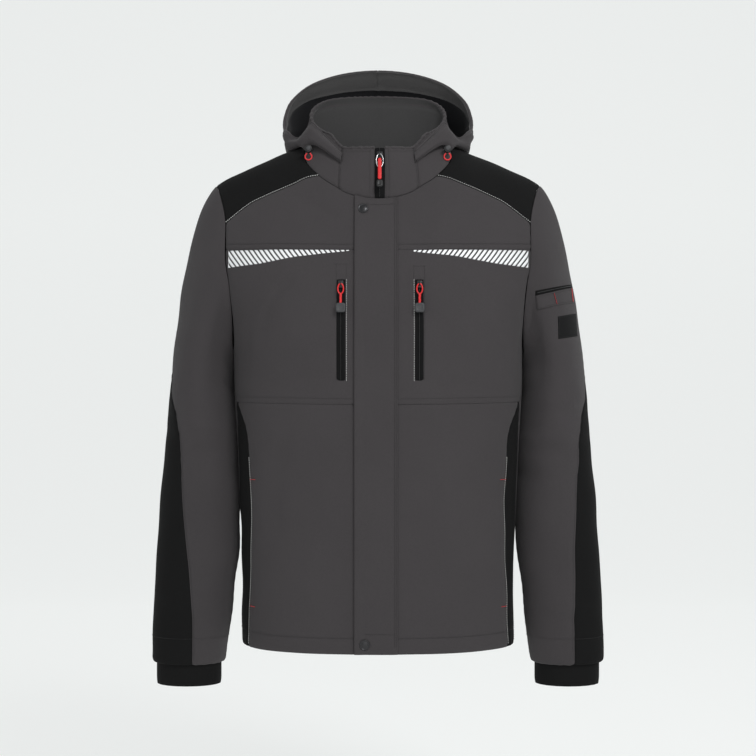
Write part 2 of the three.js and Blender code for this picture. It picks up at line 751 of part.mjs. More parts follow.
// A column of a sleeve piece runs from its point of the armhole down to the sleeve's end
function sleevePiece(side, firstStop, lastStop, firstEdge, lastEdge) {
  const first = sleeveDegrees(firstStop);
  const last = sleeveDegrees(lastStop);
  return (u, v) => {
    const along = mix(firstStop, lastStop, u);
    const natural = sleeveDegrees(along);
    const share = (natural - first) / (last - first);
    const place = limit(v) * sleeveRowCount;
    if (place <= capCount) {
      const t = Math.max(level(capStops, place / capCount), capStart);
      const degrees = mix(natural, mix(firstEdge(capZ), lastEdge(capZ), share), t);
      const start = armhole(along < 0 ? along + 5 : along);
      return mirrored(side, folded(sleeveCap(start, degrees, t), degrees, limit(4 * t)));
    }
    const z = level(sleeveLevels, (place - capCount) / (sleeveLevels.length - 1));
    const degrees = mix(firstEdge(z), lastEdge(z), share);
    return mirrored(side, folded(sleeveRing(degrees, z), degrees, 1));
  };
}

const panelEdge = (side, which) => (z) => column(sleevePanelRows[side.name], "z", which, z);

// The black panel starts as a point just under the first full ring
function sleevePanel(side) {
  const ringPoint = (degrees, z) => mirrored(side, folded(sleeveRing(degrees, z), degrees, 1));
  const across = (u, z) => mix(panelEdge(side, "back")(z), panelEdge(side, "front")(z), u);
  return (u, v) => {
    const place = limit(v) * (sleeveLevels.length - 1);
    if (place <= 1) {
      const tip = ringPoint(across(u, capZ), capZ);
      return tip.lerp(ringPoint(across(u, sleeveLevels[1]), sleeveLevels[1]), mix(panelTip, 1, place));
    }
    const z = level(sleeveLevels, place / (sleeveLevels.length - 1));
    return ringPoint(across(u, z), z);
  };
}

const sleeveMiddle = (side) => (p) => vec(side.sign * mix(250, 272, limit(-p.z / 700)), -10, p.z);

for (const side of sides) {
  const piece = (name, surface, us, vs, colour) => {
    const options = { open: ["top"] };
    add(`${name}_${side.name}`, patch(surface, us, vs, sleeveMiddle(side), options), colour);
  };
  const rows = steps(sleeveRowCount);
  const part = (from, to) => (stop) => (stop - from) / (to - from);
  const front = sleevePiece(side, elbowStop - 5, armpitStop, panelEdge(side, "front"), () => 180);
  const rear = sleevePiece(side, armpitStop, elbowStop, () => 180, (z) => 360 + panelEdge(side, "back")(z));
  piece("sleeve_front", front, frontStops.map(part(elbowStop - 5, armpitStop)), rows, colours.grey);
  piece("sleeve_back", rear, rearStops.map(part(armpitStop, elbowStop)), rows, colours.grey);
  const panelRows = steps(sleeveLevels.length - 1);
  const panel = patch(sleevePanel(side), steps(8), panelRows, sleeveMiddle(side), { gap: 2 * seamGap });
  add(`sleeve_panel_${side.name}`, panel, colours.black);
  const cuff = (u, v) => {
    const angle = 2 * Math.PI * u;
    const x = side.sign * (cuffX + cuffHalfX * Math.cos(angle));
    return vec(x, cuffY - cuffHalfY * Math.sin(angle), mix(cuffTopZ, cuffEndZ, v));
  };
  const around = steps(20).slice(0, -1);
  const cuffOptions = { ring: true, open: ["top", "bottom"] };
  const cuffMiddle = (p) => vec(side.sign * cuffX, cuffY, p.z);
  add(`cuff_${side.name}`, patch(cuff, around, steps(2), cuffMiddle, cuffOptions), colours.black);
}

// Collar
function neckLoop(side, along) {
  if (along <= 1) return frontUpper(side)(Math.max(along, 0) * innerPart, 0);
  if (along <= 2) return yoke(side)(0, along - 1);
  const x = mix(backNeckX, 0, along - 2);
  return mirrored(side, bodyPoint("back", x, column(neckBackRows, "x", "z", x)));
}

function collarPoint(side, along, v) {
  const seam = neckLoop(side, along);
  const drawn = 1 - (1.5 * seamGap) / Math.hypot(seam.x, seam.y);
  seam.set(seam.x * drawn, seam.y * drawn, seam.z + seamGap);
  const at = (name) => column(collarRimRows, "along", name, along);
  const shift = side.sign * zipCentre * (1 - limit(along / collarPanelEnd));
  const rim = vec(at("x") + shift, at("y"), at("z"));
  const point = seam.lerp(mirrored(side, rim), v);
  const bow = collarBow * 4 * v * (1 - v);
  const reach = Math.hypot(point.x, point.y);
  return vec(point.x * (1 + bow / reach), point.y * (1 + bow / reach), point.z);
}

// Round the collar from the right zip edge by the back to the left one
const collarRound = (from) => (u, v) => {
  const right = u < 0.5;
  return collarPoint(right ? sides[0] : sides[1], mix(from, 3, right ? 2 * u : 2 - 2 * u), v);
};
const collarMiddle = (p) => vec(p.x * 0.5, p.y * 0.5, p.z);
const collarStops = [0.31, 0.66, 1, 1.25, 1.5, 1.75, 2, 2.33, 2.66];
const bothWays = (from, stops) => {
  const half = stops.map((stop) => (stop - from) / (3 - from) / 2);
  return [0, ...half, 0.5, ...[...half].reverse().map((u) => 1 - u), 1];
};
add(
  "collar_outer",
  patch(collarRound(collarPanelEnd), bothWays(collarPanelEnd, collarStops.slice(2)), steps(3), collarMiddle),
  colours.grey,
);
add(
  "collar_inner",
  patch(collarRound(0), bothWays(0, collarStops), steps(3), collarMiddle, { lift: -cloth - seamGap }),
  colours.inner,
);
for (const side of sides) {
  const surface = (u, v) => collarPoint(side, side.sign < 0 ? u : collarPanelEnd - u, v);
  const stops = side.sign < 0 ? [0, 0.31, 0.66] : [0, 0.35, 0.66];
  add(`collar_front_${side.name}`, patch(surface, stops, steps(3), collarMiddle), colours.grey);
}
const collarZip = (u, v) => collarPoint(sides[0], 0, v).lerp(collarPoint(sides[1], 0, v), u);
add(
  "collar_zip",
  patch(collarZip, steps(2), steps(3), collarMiddle, { lift: -0.3, thick: thinCloth }),
  colours.black,
);

// Hood, lying open behind the collar
// one section past the back centre is added, so that both sides meet there without a crease
const hoodPoints = [-1, ...hoodRows.keys()].map((i) => {
  const sign = i < 0 ? -1 : 1;
  const row = hoodRows[Math.abs(i)];
  const flat = { at: sign * row.at };
  for (const name of ["seam", "low", "out", "rim"]) {
    const [x, y, z] = row[name];
    Object.assign(flat, { [`${name}X`]: sign * x, [`${name}Y`]: y, [`${name}Z`]: z });
  }
  return flat;
});

function hoodPoint(side, at, v) {
  const coordinate = (axis) => {
    const rows = ["seam", "low", "out", "rim"].map((name, i) => ({
      part: i / 3,
      value: column(hoodPoints, "at", name + axis, at),
    }));
    return column(rows, "part", "value", v);
  };
  return mirrored(side, vec(coordinate("X"), coordinate("Y"), coordinate("Z")));
}

const hoodMiddle = (p) => vec(p.x * 0.75, p.y * 0.75, 60);
for (const side of sides) {
  const surface = (u, v) => hoodPoint(side, u, v);
  const liningColumns = steps(10).map((t) => t * liningEnd);
  const liningRows = steps(7).map((t) => t * facingFrom);
  const piece = (name, us, vs, colour, lift = 0) =>
    add(`${name}_${side.name}`, patch(surface, us, vs, hoodMiddle, { lift }), colour);
  const inside = -cloth - seamGap;
  piece("hood", [...liningColumns, ...hoodEnds], [...liningRows, ...facingRows.slice(1)], colours.grey);
  piece("hood_facing", liningColumns, facingRows, colours.grey, inside);
  piece("hood_lining", liningColumns, liningRows, colours.black, inside);
}

// Hard pieces: a frame of sideways, up and out axes places a shape made flat
function placed(geometry, origin, out) {
  const side = vec(1, 0, 0);
  const normal = vec(0, out.y, out.z).normalize();
  const up = normal.clone().cross(side);
  const frame = new THREE.Matrix4().makeBasis(side, up, normal).setPosition(origin);
  return geometry.clone().applyMatrix4(frame);
}

function slab(width, height, depth, radius) {
  const shape = new THREE.Shape();
  const w = width / 2 - radius;
  const h = height / 2 - radius;
  shape.absarc(w, h, radius, 0, Math.PI / 2);
  shape.absarc(-w, h, radius, Math.PI / 2, Math.PI);
  shape.absarc(-w, -h, radius, Math.PI, 1.5 * Math.PI);
  shape.absarc(w, -h, radius, 1.5 * Math.PI, 2 * Math.PI);
  return new THREE.ExtrudeGeometry(shape, { depth, bevelEnabled: false, curveSegments: 3 });
}

function button(radius, height, crown) {
  const top = height + crown;
  const profile = [[0, 0], [radius, 0], [radius, height], [radius * 0.7, height + crown * 0.8], [0, top]];
  const points = profile.map(([x, y]) => new THREE.Vector2(x, y));
  return new THREE.LatheGeometry(points, 16).rotateX(Math.PI / 2);
}

// A wire loop that hangs down from the hinge, and the lug that it hangs in
function hangingLoop(halfWidth, halfHeight, wire) {
  const loop = new THREE.TorusGeometry(1, 1, wireSides, wireSteps);
  const place = loop.attributes.position;
  for (let i = 0; i <= wireSides; i += 1) {
    for (let j = 0; j <= wireSteps; j += 1) {
      const around = (2 * Math.PI * j) / wireSteps;
      const section = (2 * Math.PI * i) / wireSides;
      const reach = wire * Math.cos(section);
      const x = (halfWidth + reach) * Math.cos(around);
      const y = (halfHeight + reach) * Math.sin(around) - halfHeight;
      place.setXYZ(i * (wireSteps + 1) + j, x, y, wire * Math.sin(section));
    }
  }
  return loop;
}

function slider([width, height]) {
  const lug = new THREE.TorusGeometry(lugRadius, lugWire, wireSides, 12).rotateY(Math.PI / 2);
  const body = slab(width, height, sliderThick, sliderCorner).translate(0, 0, -sliderThick - hingeHeight);
  return join([body, lug]);
}

const hungSlab = (size, [up, out]) => slab(...size).translate(0, up, out);

const outAt = (surface, u, v, middle) =>
  square(surface, u, v).multiplyScalar(outwardSign(surface, middle));

// Chest zips: tape, slider and a pull that swings up about the slider's lug
for (const zip of chestZips) {
  const tape = (u, v) => {
    const z = level(zipLevels, v);
    return bodyPoint("front", mix(zip.x0, zip.x1, u), z);
  };
  const options = { lift: seamGap + thinCloth, thick: thinCloth };
  const tapeRows = steps(zipLevels.length - 1);
  add(`chest_zip_${zip.name}`, patch(tape, steps(1), tapeRows, bodyMiddle, options), colours.black);
  const sliderPart = (chestSliderZ - zipLevels[0]) / (zipLevels[1] - zipLevels[0]) / (zipLevels.length - 1);
  const out = outAt(tape, 0.5, sliderPart, bodyMiddle);
  const seat = tape(0.5, sliderPart).addScaledVector(out, 2 * seamGap + thinCloth);
  const hinge = seat.addScaledVector(out, sliderThick + hingeHeight);
  add(`chest_slider_${zip.name}`, placed(slider(chestPull.slider), hinge, out), colours.black, 0.5);
  const { cordRadius: radius, cordLong, cordMiddle } = chestPull;
  const cord = new THREE.CylinderGeometry(radius, radius, cordLong, cordSides).translate(0, cordMiddle, 0);
  const loop = join([hangingLoop(...chestPull.loop, pullWire), cord]);
  add(`chest_pull_${zip.name}`, placed(loop, hinge, out), colours.red, 0.6);
  const tab = hungSlab(chestPull.tab, chestPull.tabPlace);
  add(`chest_tab_${zip.name}`, placed(tab, hinge, out), colours.rubber, 0.7);
}

// Neck zip: slider, wire bail, red strap and rubber end
{
  const out = outAt(collarZip, 0.5, neckSliderPart, collarMiddle);
  const seat = collarZip(0.5, neckSliderPart).addScaledVector(out, seamGap);
  const hinge = seat.addScaledVector(out, sliderThick + hingeHeight);
  add("neck_slider", placed(slider(neckPull.slider), hinge, out), colours.black, 0.4);
  const bail = hangingLoop(...neckPull.loop, pullWire);
  add("neck_bail", placed(join([bail]), hinge, out), colours.steel, 0.35, 0.9);
  const strap = hungSlab(neckPull.strap, neckPull.strapPlace);
  add("neck_strap", placed(join([strap]), hinge, out), colours.red, 0.6);
  const end = hungSlab(neckPull.tab, neckPull.tabPlace);
  add("neck_tab", placed(join([end]), hinge, out), colours.black, 0.7);
}

// Snaps on the storm flap
const flapSurface = strip(flapLeftX, flapRightX);
for (const snap of snaps) {
  const u = (snap.x - flapLeftX) / (flapRightX - flapLeftX);
  const out = outAt(flapSurface, u, snap.v, bodyMiddle);
  const seat = flapSurface(u, snap.v).addScaledVector(out, 2 * seamGap + cloth);
  const cap = join([button(snapRadius, snapHeight, snapCrown)]);
  add(`snap_${snap.name}`, placed(cap, seat, out), colours.gunmetal, 0.4, 0.7);
}

// Cord locks of the hood, each with the loop of cord that hangs from it
for (const side of sides) {
  const seat = vec(side.sign * lockX, lockY, lockZ);
  const out = vec(0, -1, lockLean);
  const disc = (radius, long, start) => {
    const round = new THREE.CylinderGeometry(radius, radius, long, 12);
    return round.rotateX(Math.PI / 2).translate(0, 0, start + long / 2);
  };
  const barrel = join([disc(lockRadius, lockLong, 0)]);
  add(`cord_lock_${side.name}`, placed(barrel, seat, out), colours.black, 0.5);
  const cap = join([disc(lockCapRadius, lockCapLong, lockLong + lockCapGap)]);
  add(`cord_button_${side.name}`, placed(cap, seat, out), colours.rubber, 0.5);
  const route = cordLoop.map(([x, z]) => vec(seat.x + x, lockY - cordDrop, lockZ + z));
  const section = new THREE.Shape();
  for (let i = 0; i < cordSides; i += 1) {
    const angle = (2 * Math.PI * i) / cordSides;
    const place = [cordRadius * Math.cos(angle), cordRadius * Math.sin(angle)];
    if (i === 0) section.moveTo(...place);
    else section.lineTo(...place);
  }
  const path = new THREE.CatmullRomCurve3(route);
  const along = { steps: cordSteps, bevelEnabled: false, extrudePath: path };
  const cord = new THREE.ExtrudeGeometry(section, along);
  add(`cord_loop_${side.name}`, join([cord]), colours.red, 0.7);
}

// Pocket and label on the left sleeve: its front piece moved out and cut to their outlines
const leftSleeve = sleevePiece(sides[1], elbowStop - 5, armpitStop, panelEdge(sides[1], "front"), () => 180);
const leftColumns = frontStops.map((stop) => (stop - elbowStop + 5) / (armpitStop - elbowStop + 5));
const laidOptions = { open: ["top"], lift: seamGap + thinCloth, thick: thinCloth };
const laidCloth = solid(
  patch(leftSleeve, leftColumns, steps(sleeveRowCount), sleeveMiddle(sides[1]), laidOptions),
);
for (const laid of sleeveLaid) {
  const shape = new THREE.Shape(laid.outline.map(([x, z]) => new THREE.Vector2(x, z)));
  const cutter = new THREE.ExtrudeGeometry(shape, { depth: laidBackY - laidFrontY, bevelEnabled: false });
  cutter.rotateX(Math.PI / 2).translate(0, laidBackY, 0);
  add(laid.name, fromSolid(laidCloth.intersect(solid(cutter))), colours[laid.colour]);
}

export default jacket;
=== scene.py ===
import json
import math

import bmesh
import bpy
import numpy as np
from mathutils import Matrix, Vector
from mathutils.bvhtree import BVHTree

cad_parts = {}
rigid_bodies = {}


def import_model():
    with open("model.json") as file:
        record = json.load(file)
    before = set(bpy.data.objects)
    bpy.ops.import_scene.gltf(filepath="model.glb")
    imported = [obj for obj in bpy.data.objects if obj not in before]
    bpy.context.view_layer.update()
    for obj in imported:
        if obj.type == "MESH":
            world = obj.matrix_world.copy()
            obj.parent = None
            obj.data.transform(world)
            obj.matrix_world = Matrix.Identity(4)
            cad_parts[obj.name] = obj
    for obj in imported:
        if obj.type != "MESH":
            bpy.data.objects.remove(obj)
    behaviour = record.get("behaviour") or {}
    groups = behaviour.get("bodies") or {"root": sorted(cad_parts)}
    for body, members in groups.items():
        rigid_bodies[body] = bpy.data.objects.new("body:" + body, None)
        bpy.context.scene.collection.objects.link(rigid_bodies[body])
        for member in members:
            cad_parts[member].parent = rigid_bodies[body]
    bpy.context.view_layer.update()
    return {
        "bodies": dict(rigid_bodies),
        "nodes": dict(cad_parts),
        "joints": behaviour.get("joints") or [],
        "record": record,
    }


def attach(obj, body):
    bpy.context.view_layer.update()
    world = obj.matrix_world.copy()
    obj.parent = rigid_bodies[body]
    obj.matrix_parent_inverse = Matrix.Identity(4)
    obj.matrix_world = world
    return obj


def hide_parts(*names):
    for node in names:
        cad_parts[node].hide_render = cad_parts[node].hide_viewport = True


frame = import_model()
print("frame loaded")

# The tables are in millimetres, as in the part's source, and meshes are made in metres
mm = 0.001
sides = {"right": -1, "left": 1}  # the wearer's sides, and their sign in x

cloth = 2.0
thinCloth = 1.2  # zip tapes
seamGap = 0.3
bodyRoundness = 2.5
shoulderRoundness = 2.2
frontRoll = 220
backRoll = 150
zipCentre = 2.4
zipHalf = 7.3
armpitZ = -285
chestSeamZ = -137  # at the zip; the seam rises towards the armhole
waistSeamZ = -355
hemZ = -712
chestSag, waistSag = -5, -3  # how far the levels dip at the zip
capZ = -310
yokeEndX = 224
yokeNeckX = 86
backNeckX = 100
chestEndX = 223.5
backTopZ = -150
flapLeftX = -33.6
flapRightX = 28.3

# Sections of the body: half width, and depth of front and back from the side line
bodyRows = {
    "z": [60, 0, -60, -120, -160, -200, -240, -285, -350, -420, -500, -600, -712],
    "half": [262, 261, 258, 253, 246, 235, 223, 214.5, 211.5, 207, 204, 202, 202.5],
    "front": [98, 104, 111, 123, 130, 136, 139, 141, 142, 140, 138, 138, 140],
    "back": [94, 102, 108, 116, 121, 125, 127, 127, 124, 121, 121, 125, 130],
}
shoulderRows = {
    "x": [0, 60, 109, 151, 194, 221, 243, 262],
    "top": [46, 40, 26, 10.5, -8, -20, -33, -46],
}
neckFrontRows = {
    "x": [0, 20, 37.5, 49, 62, 78, 86],
    "z": [-61.5, -60, -55.5, -51, -42.4, -32, -25.5],
}
neckBackRows = {"x": [0, 50, 100], "z": [19, 20, 22]}
yokeFrontRows = {
    "x": [86, 104, 124, 150, 165, 184, 224],
    "z": [-25.5, -29, -38, -49, -55.6, -64.5, -92.6],
}
yokeBackRows = {"x": [100, 150, 224], "z": [22, -38, -98]}
yokeBackZ = yokeBackRows["z"][-1]
yokeEndRows = {
    "roll": [-1, -0.85, -0.7, -0.47, 0, 0.5, 1],
    "neck": [86, 99, 106.5, 109, 109, 108, 100],
    "arm": [224, 227, 231, 236, 243, 236, 224],
}
armholeFrontRows = {
    "z": [-132, -155, -183, -231, -268, -285],
    "x": [223.5, 222.5, 217.5, 213.5, 212.6, 214.5],
}
armholeBackRows = {
    "z": [-98, -150, -190, -235, -268, -285],
    "x": [224, 222, 217.5, 213.5, 212.6, 214.5],
}
sidePanelRows = {
    "z": [-355, -392, -430, -500, -655, -712],
    "front": [76, 65, 62.3, 61.2, 66, 67.3],
    "back": [79, 80, 81, 82, 83, 83],
}
chestLevels = [-132, -160, -190, -220, -250, -272, armpitZ, -320, waistSeamZ]
lowerLevels = [waistSeamZ, -400, -450, -505, -560, -615, -665, hemZ]
backLevels = [backTopZ, -185, -220, -252, -274, armpitZ, -320, *lowerLevels]
sleeveRows = {
    "z": [-310, -350, -397, -450, -505, -561, -617, -675, -732, -738.5, -741],
    "outer": [308.5, 312.5, 316, 320, 324.3, 327.6, 331.5, 334, 335.2, 333.6, 331],
    "inner": [215, 213.5, 210.6, 208, 206.2, 205.8, 212.3, 218.4, 225.5, 227.4, 230],
    "front": [-72, -73, -73, -73, -73, -72, -71, -69, -66, -64.6, -62.2],
    "back": [71, 68, 64, 58, 51, 43, 35, 29, 22, 20.6, 18.2],
}
sleevePanelRows = {
    "right": {
        "z": [-310, -350, -397, -450, -505, -561, -617, -675, -741],
        "front": [14, 36, 56, 64, 70, 77, 87, 95, 100],
        "back": [9, -6, -18, -28, -36, -42, -48, -53, -57],
    },
    "left": {
        "z": [-310, -350, -397, -450, -505, -561, -617, -675, -741],
        "front": [10, 30, 49, 58, 65, 69, 74, 79, 83],
        "back": [5, -8, -18, -28, -36, -42, -48, -53, -57],
    },
}
elbowStop = 4.75
armpitStop = 3.0
armholeMiddleZ = -160
capStops = [0, 0.22, 0.45, 0.72, 1]
capCount = len(capStops) - 1
capStart = 0.002
capEase = {"out": (0.05, 0.32), "forward": -0.12, "down": (-0.32, -0.58), "arrive": 1.05}
panelTip = 0.04
sleeveLevels = sleeveRows["z"]
sleeveRowCount = capCount + len(sleeveLevels) - 1
# Folds of the sleeves, as in the solids: place round and up, half sizes, depth
sleeveFolds = [
    (128, -235, 20, 95, 7),
    (62, -372, 40, 14, 2.5),
    (100, -428, 38, 13, 3.5),
    (-95, -400, 45, 14, 3),
    (75, -672, 45, 12, 2.5),
]
collarRimRows = {
    "along": [0, 0.31, 0.62, 0.8, 1, 1.2, 1.5, 1.75, 2, 2.3, 2.6, 3],
    "x": [7.3, 28, 50, 60, 70, 81, 97, 103, 98, 78, 46, 0],
    "y": [-79, -75, -64, -55, -44, -27, 8, 28, 46, 64, 76, 80],
    "z": [15, 15.5, 17, 26, 39, 46, 62, 77, 92, 105, 111, 113],
}
collarPanelEnd = 0.66
collarBow = 3
# Lines of the hood from its neck seam to its rim, each a row of x, y, z for the stops in hoodAt
hoodAt = [0, 0.14, 0.28, 0.42, 0.54, 0.64, 0.72, 0.79, 0.86, 0.9, 0.95, 1]
hoodSeam = [
    (0, 74, 34), (42, 71, 34), (78, 60, 34), (102, 43, 33), (110, 26, 31), (112, 8, 30),
    (113, -10, 26), (112, -30, 20), (108, -46, 15), (99, -54, 22), (84, -64, 16), (54, -79, -7),
]
hoodLow = [
    (0, 130, -66), (50, 126, -60), (94, 110, -42), (124, 80, -10), (134, 44, 12), (134, 16, 21),
    (130, -8, 21), (119, -32, 25), (110, -46, 25), (101, -53, 33), (85, -63, 22), (54.5, -78.5, -3),
]
hoodOut = [
    (0, 178, 44), (60, 168, 44), (110, 140, 45), (138, 98, 45), (142, 60, 46), (142, 28, 40),
    (139, 0, 34), (123, -27, 31), (111, -41, 38), (101, -46, 46), (84.5, -59, 31), (53.5, -76, 3),
]
hoodRim = [
    (0, 106, 160), (56, 103, 154), (104, 92, 136), (134, 74, 108), (144, 54, 80), (144, 32, 58),
    (137, 4, 50), (120, -18, 38), (105, -31, 50), (97.5, -36, 58), (80.5, -50, 39), (52, -71, 9),
]
facingFrom = 0.927  # nearer to the rim than in the solids, so the black lining shows as a wider dark band: the lining's own black, plus painted shade
liningEnd = 0.8
cuffX = 280.5
cuffY = -22
cuffHalfX = 47.8
cuffHalfY = 37.6
cuffTopZ = -734
cuffEndZ = -772


# Curves and small helpers, on whole arrays

def mix(a, b, t):
    return a + (b - a) * t


def column(table, key, value, at):
    k = np.array(table[key], float)
    v = np.array(table[value], float)
    if k[0] > k[-1]:
        k = k[::-1]
        v = v[::-1]
    before = np.maximum(np.arange(len(k)) - 1, 0)
    after = np.minimum(np.arange(len(k)) + 1, len(k) - 1)
    slope = (v[after] - v[before]) / (k[after] - k[before])
    at = np.clip(at, k[0], k[-1])
    i = np.clip(np.searchsorted(k, at, side="right") - 1, 0, len(k) - 2)
    span = k[i + 1] - k[i]
    t = (at - k[i]) / span
    bend = t * t * (3 - 2 * t)
    ends = slope[i] * span * t * (1 - t) ** 2 - slope[i + 1] * span * t * t * (1 - t)
    return mix(v[i], v[i + 1], bend) + ends


def level(levels, part):
    levels = np.array(levels, float)
    place = np.clip(part, 0, 1) * (len(levels) - 1)
    return np.interp(place, np.arange(len(levels)), levels)


def points(x, y, z):
    return np.stack(np.broadcast_arrays(x, y, z), axis=-1).astype(float)


def signedPower(value, exponent):
    return np.sign(value) * np.abs(value) ** exponent


def mirrored(sign, p):
    return p * np.array([sign, 1, 1])


def length(v):
    return np.linalg.norm(v, axis=-1, keepdims=True)


def unit(v):
    return v / np.maximum(length(v), 1e-9)


# Body surface

def half(z):
    return column(bodyRows, "z", "half", z)


def shoulder(x):
    return column(shoulderRows, "x", "top", np.abs(x))


def bodyPoint(front, x, z):
    x, z, front = np.broadcast_arrays(np.asarray(x, float), np.asarray(z, float), np.asarray(front))
    roll = np.where(front, frontRoll, backRoll)
    depth = np.where(front, -column(bodyRows, "z", "front", z), column(bodyRows, "z", "back", z))
    inside = np.clip(1 - (np.abs(x) / half(z)) ** bodyRoundness, 0, 1)
    drop = np.clip((shoulder(x) - z) / roll, 0, 1)
    over = (1 - (1 - drop) ** shoulderRoundness) ** (1 / shoulderRoundness)
    return points(x, depth * inside ** (1 / bodyRoundness) * over, z)


def bodyAround(degrees, z):
    angle = np.radians(degrees)
    x = half(z) * signedPower(np.sin(angle), 2 / bodyRoundness)
    return bodyPoint(np.cos(angle) >= 0, x, z)


def degreesAt(x, z):
    return np.degrees(np.arcsin(np.clip(np.abs(x) / half(z), 0, 1) ** (bodyRoundness / 2)))


def yokePoint(x, roll):
    x, roll = np.broadcast_arrays(np.asarray(x, float), np.asarray(roll, float))
    front = roll < 0
    height = np.where(front, frontRoll, backRoll)
    edgeZ = np.where(front, column(yokeFrontRows, "x", "z", x), column(yokeBackRows, "x", "z", x))
    edge = np.clip((shoulder(x) - edgeZ) / height, 0, 1)
    turn = np.arccos((1 - edge) ** (shoulderRoundness / 2)) * np.abs(roll)
    z = shoulder(x) - height * (1 - np.cos(turn) ** (2 / shoulderRoundness))
    return bodyPoint(front, x, z)


def zipEdge(sign):
    return zipCentre + sign * zipHalf


innerPart = 3 / 8


def chestSeamX(sign, u):
    inner = mix(sign * zipEdge(sign), yokeNeckX, u / innerPart)
    outer = mix(yokeNeckX, chestEndX, (u - innerPart) / (1 - innerPart))
    return np.where(u < innerPart, inner, outer)


def frontShare(sign, u):
    start = degreesAt(zipEdge(sign), chestLevels[0])
    end = degreesAt(chestEndX, chestLevels[0])
    return (degreesAt(chestSeamX(sign, u), chestLevels[0]) - start) / (end - start)


def frontUpper(sign):
    def surface(u, v):
        x = chestSeamX(sign, u)
        topZ = np.where(
            u < innerPart, column(neckFrontRows, "x", "z", x), column(yokeFrontRows, "x", "z", x)
        )
        topX = np.where(u < innerPart, x, mix(yokeNeckX, yokeEndX, (u - innerPart) / (1 - innerPart)))
        seamZ = mix(chestSeamZ, chestLevels[0], frontShare(sign, u))
        return mirrored(sign, bodyPoint(True, mix(topX, x, v), mix(topZ, seamZ, v)))
    return surface


def chestEdge(z):
    lower = mix(90, 79, np.clip((armpitZ - z) / (armpitZ - waistSeamZ), 0, 1))
    return np.where(z < armpitZ, lower, degreesAt(column(armholeFrontRows, "z", "x", z), z))


def frontAround(sign, share, z, edge, sag):
    centre = degreesAt(zipEdge(sign), z)
    return mirrored(sign, bodyAround(mix(centre, edge, share), z + sag * (1 - share)))


def frontMiddle(sign):
    def surface(u, v):
        z = level(chestLevels, v)
        return frontAround(sign, frontShare(sign, u), z, chestEdge(z), mix(chestSag, waistSag, v))
    return surface


def frontLower(sign):
    def surface(u, v):
        z = level(lowerLevels, v)
        edge = column(sidePanelRows, "z", "front", z)
        return frontAround(sign, frontShare(sign, u), z, edge, mix(waistSag, 0, v))
    return surface


def sidePanel(sign):
    def surface(u, v):
        z = level(lowerLevels, v)
        start = column(sidePanelRows, "z", "front", z)
        end = column(sidePanelRows, "z", "back", z)
        return mirrored(sign, bodyAround(mix(start, end, u), z))
    return surface


def yoke(sign):
    def surface(u, v):
        roll = mix(-1, 1, v)
        neck = column(yokeEndRows, "roll", "neck", roll)
        arm = column(yokeEndRows, "roll", "arm", roll)
        return mirrored(sign, yokePoint(mix(neck, arm, u), roll))
    return surface


def backEdge(z):
    armhole = degreesAt(column(armholeBackRows, "z", "x", z), z)
    lower = 180 - column(sidePanelRows, "z", "back", z)
    return np.where(z >= armpitZ, armhole, np.where(z >= waistSeamZ, 180 - chestEdge(z), lower))


backCorner = 5 / 16
backTopRows = 3
backRowCount = backTopRows + len(backLevels) - 1


def backTopX(u):
    places = [0, backCorner, 1 - backCorner, 1]
    return np.interp(u, places, [-yokeEndX, -backNeckX, backNeckX, yokeEndX])


def backAround(u, z):
    x = backTopX(u)
    share = degreesAt(x, yokeBackZ) / degreesAt(yokeEndX, yokeBackZ)
    sign = np.where(x < 0, -1.0, 1.0)
    p = bodyAround(180 - share * backEdge(z), z)
    return points(p[..., 0] * sign, p[..., 1], p[..., 2])


def back(u, v):
    place = v * backRowCount
    lower = backAround(u, level(backLevels, (place - backTopRows) / (len(backLevels) - 1)))
    part = place / backTopRows
    x = backTopX(u)
    ax = np.abs(x)
    topZ = np.where(
        ax < backNeckX, column(neckBackRows, "x", "z", ax), column(yokeBackRows, "x", "z", ax)
    )
    under = backAround(u, np.full_like(x, backTopZ))
    upper = bodyPoint(False, mix(x, under[..., 0], part), mix(topZ, under[..., 2], part))
    return np.where((place >= backTopRows)[..., None], lower, upper)


frontCounts = (3, len(chestLevels) - 1, len(lowerLevels) - 1)


def frontLevel(x, v):
    place = v * sum(frontCounts)
    upper = mix(column(neckFrontRows, "x", "z", np.abs(x)), chestSeamZ, place / frontCounts[0])
    part = np.clip((place - frontCounts[0]) / frontCounts[1], 0, 1)
    middle = level(chestLevels, part) + mix(chestSag, waistSag, part)
    rest = np.clip((place - frontCounts[0] - frontCounts[1]) / frontCounts[2], 0, 1)
    lower = level(lowerLevels, rest) + mix(waistSag, 0, rest)
    return np.where(place < frontCounts[0], upper, np.where(part < 1, middle, lower))


def strip(x0, x1):
    def surface(u, v):
        x = mix(x0, x1, u)
        return bodyPoint(True, x, frontLevel(x, v))
    return surface


# Armhole and sleeves
frontArmRows = chestLevels.index(armpitZ)
backArmRows = backLevels.index(armpitZ)
bladeX = armholeBackRows["x"][1]


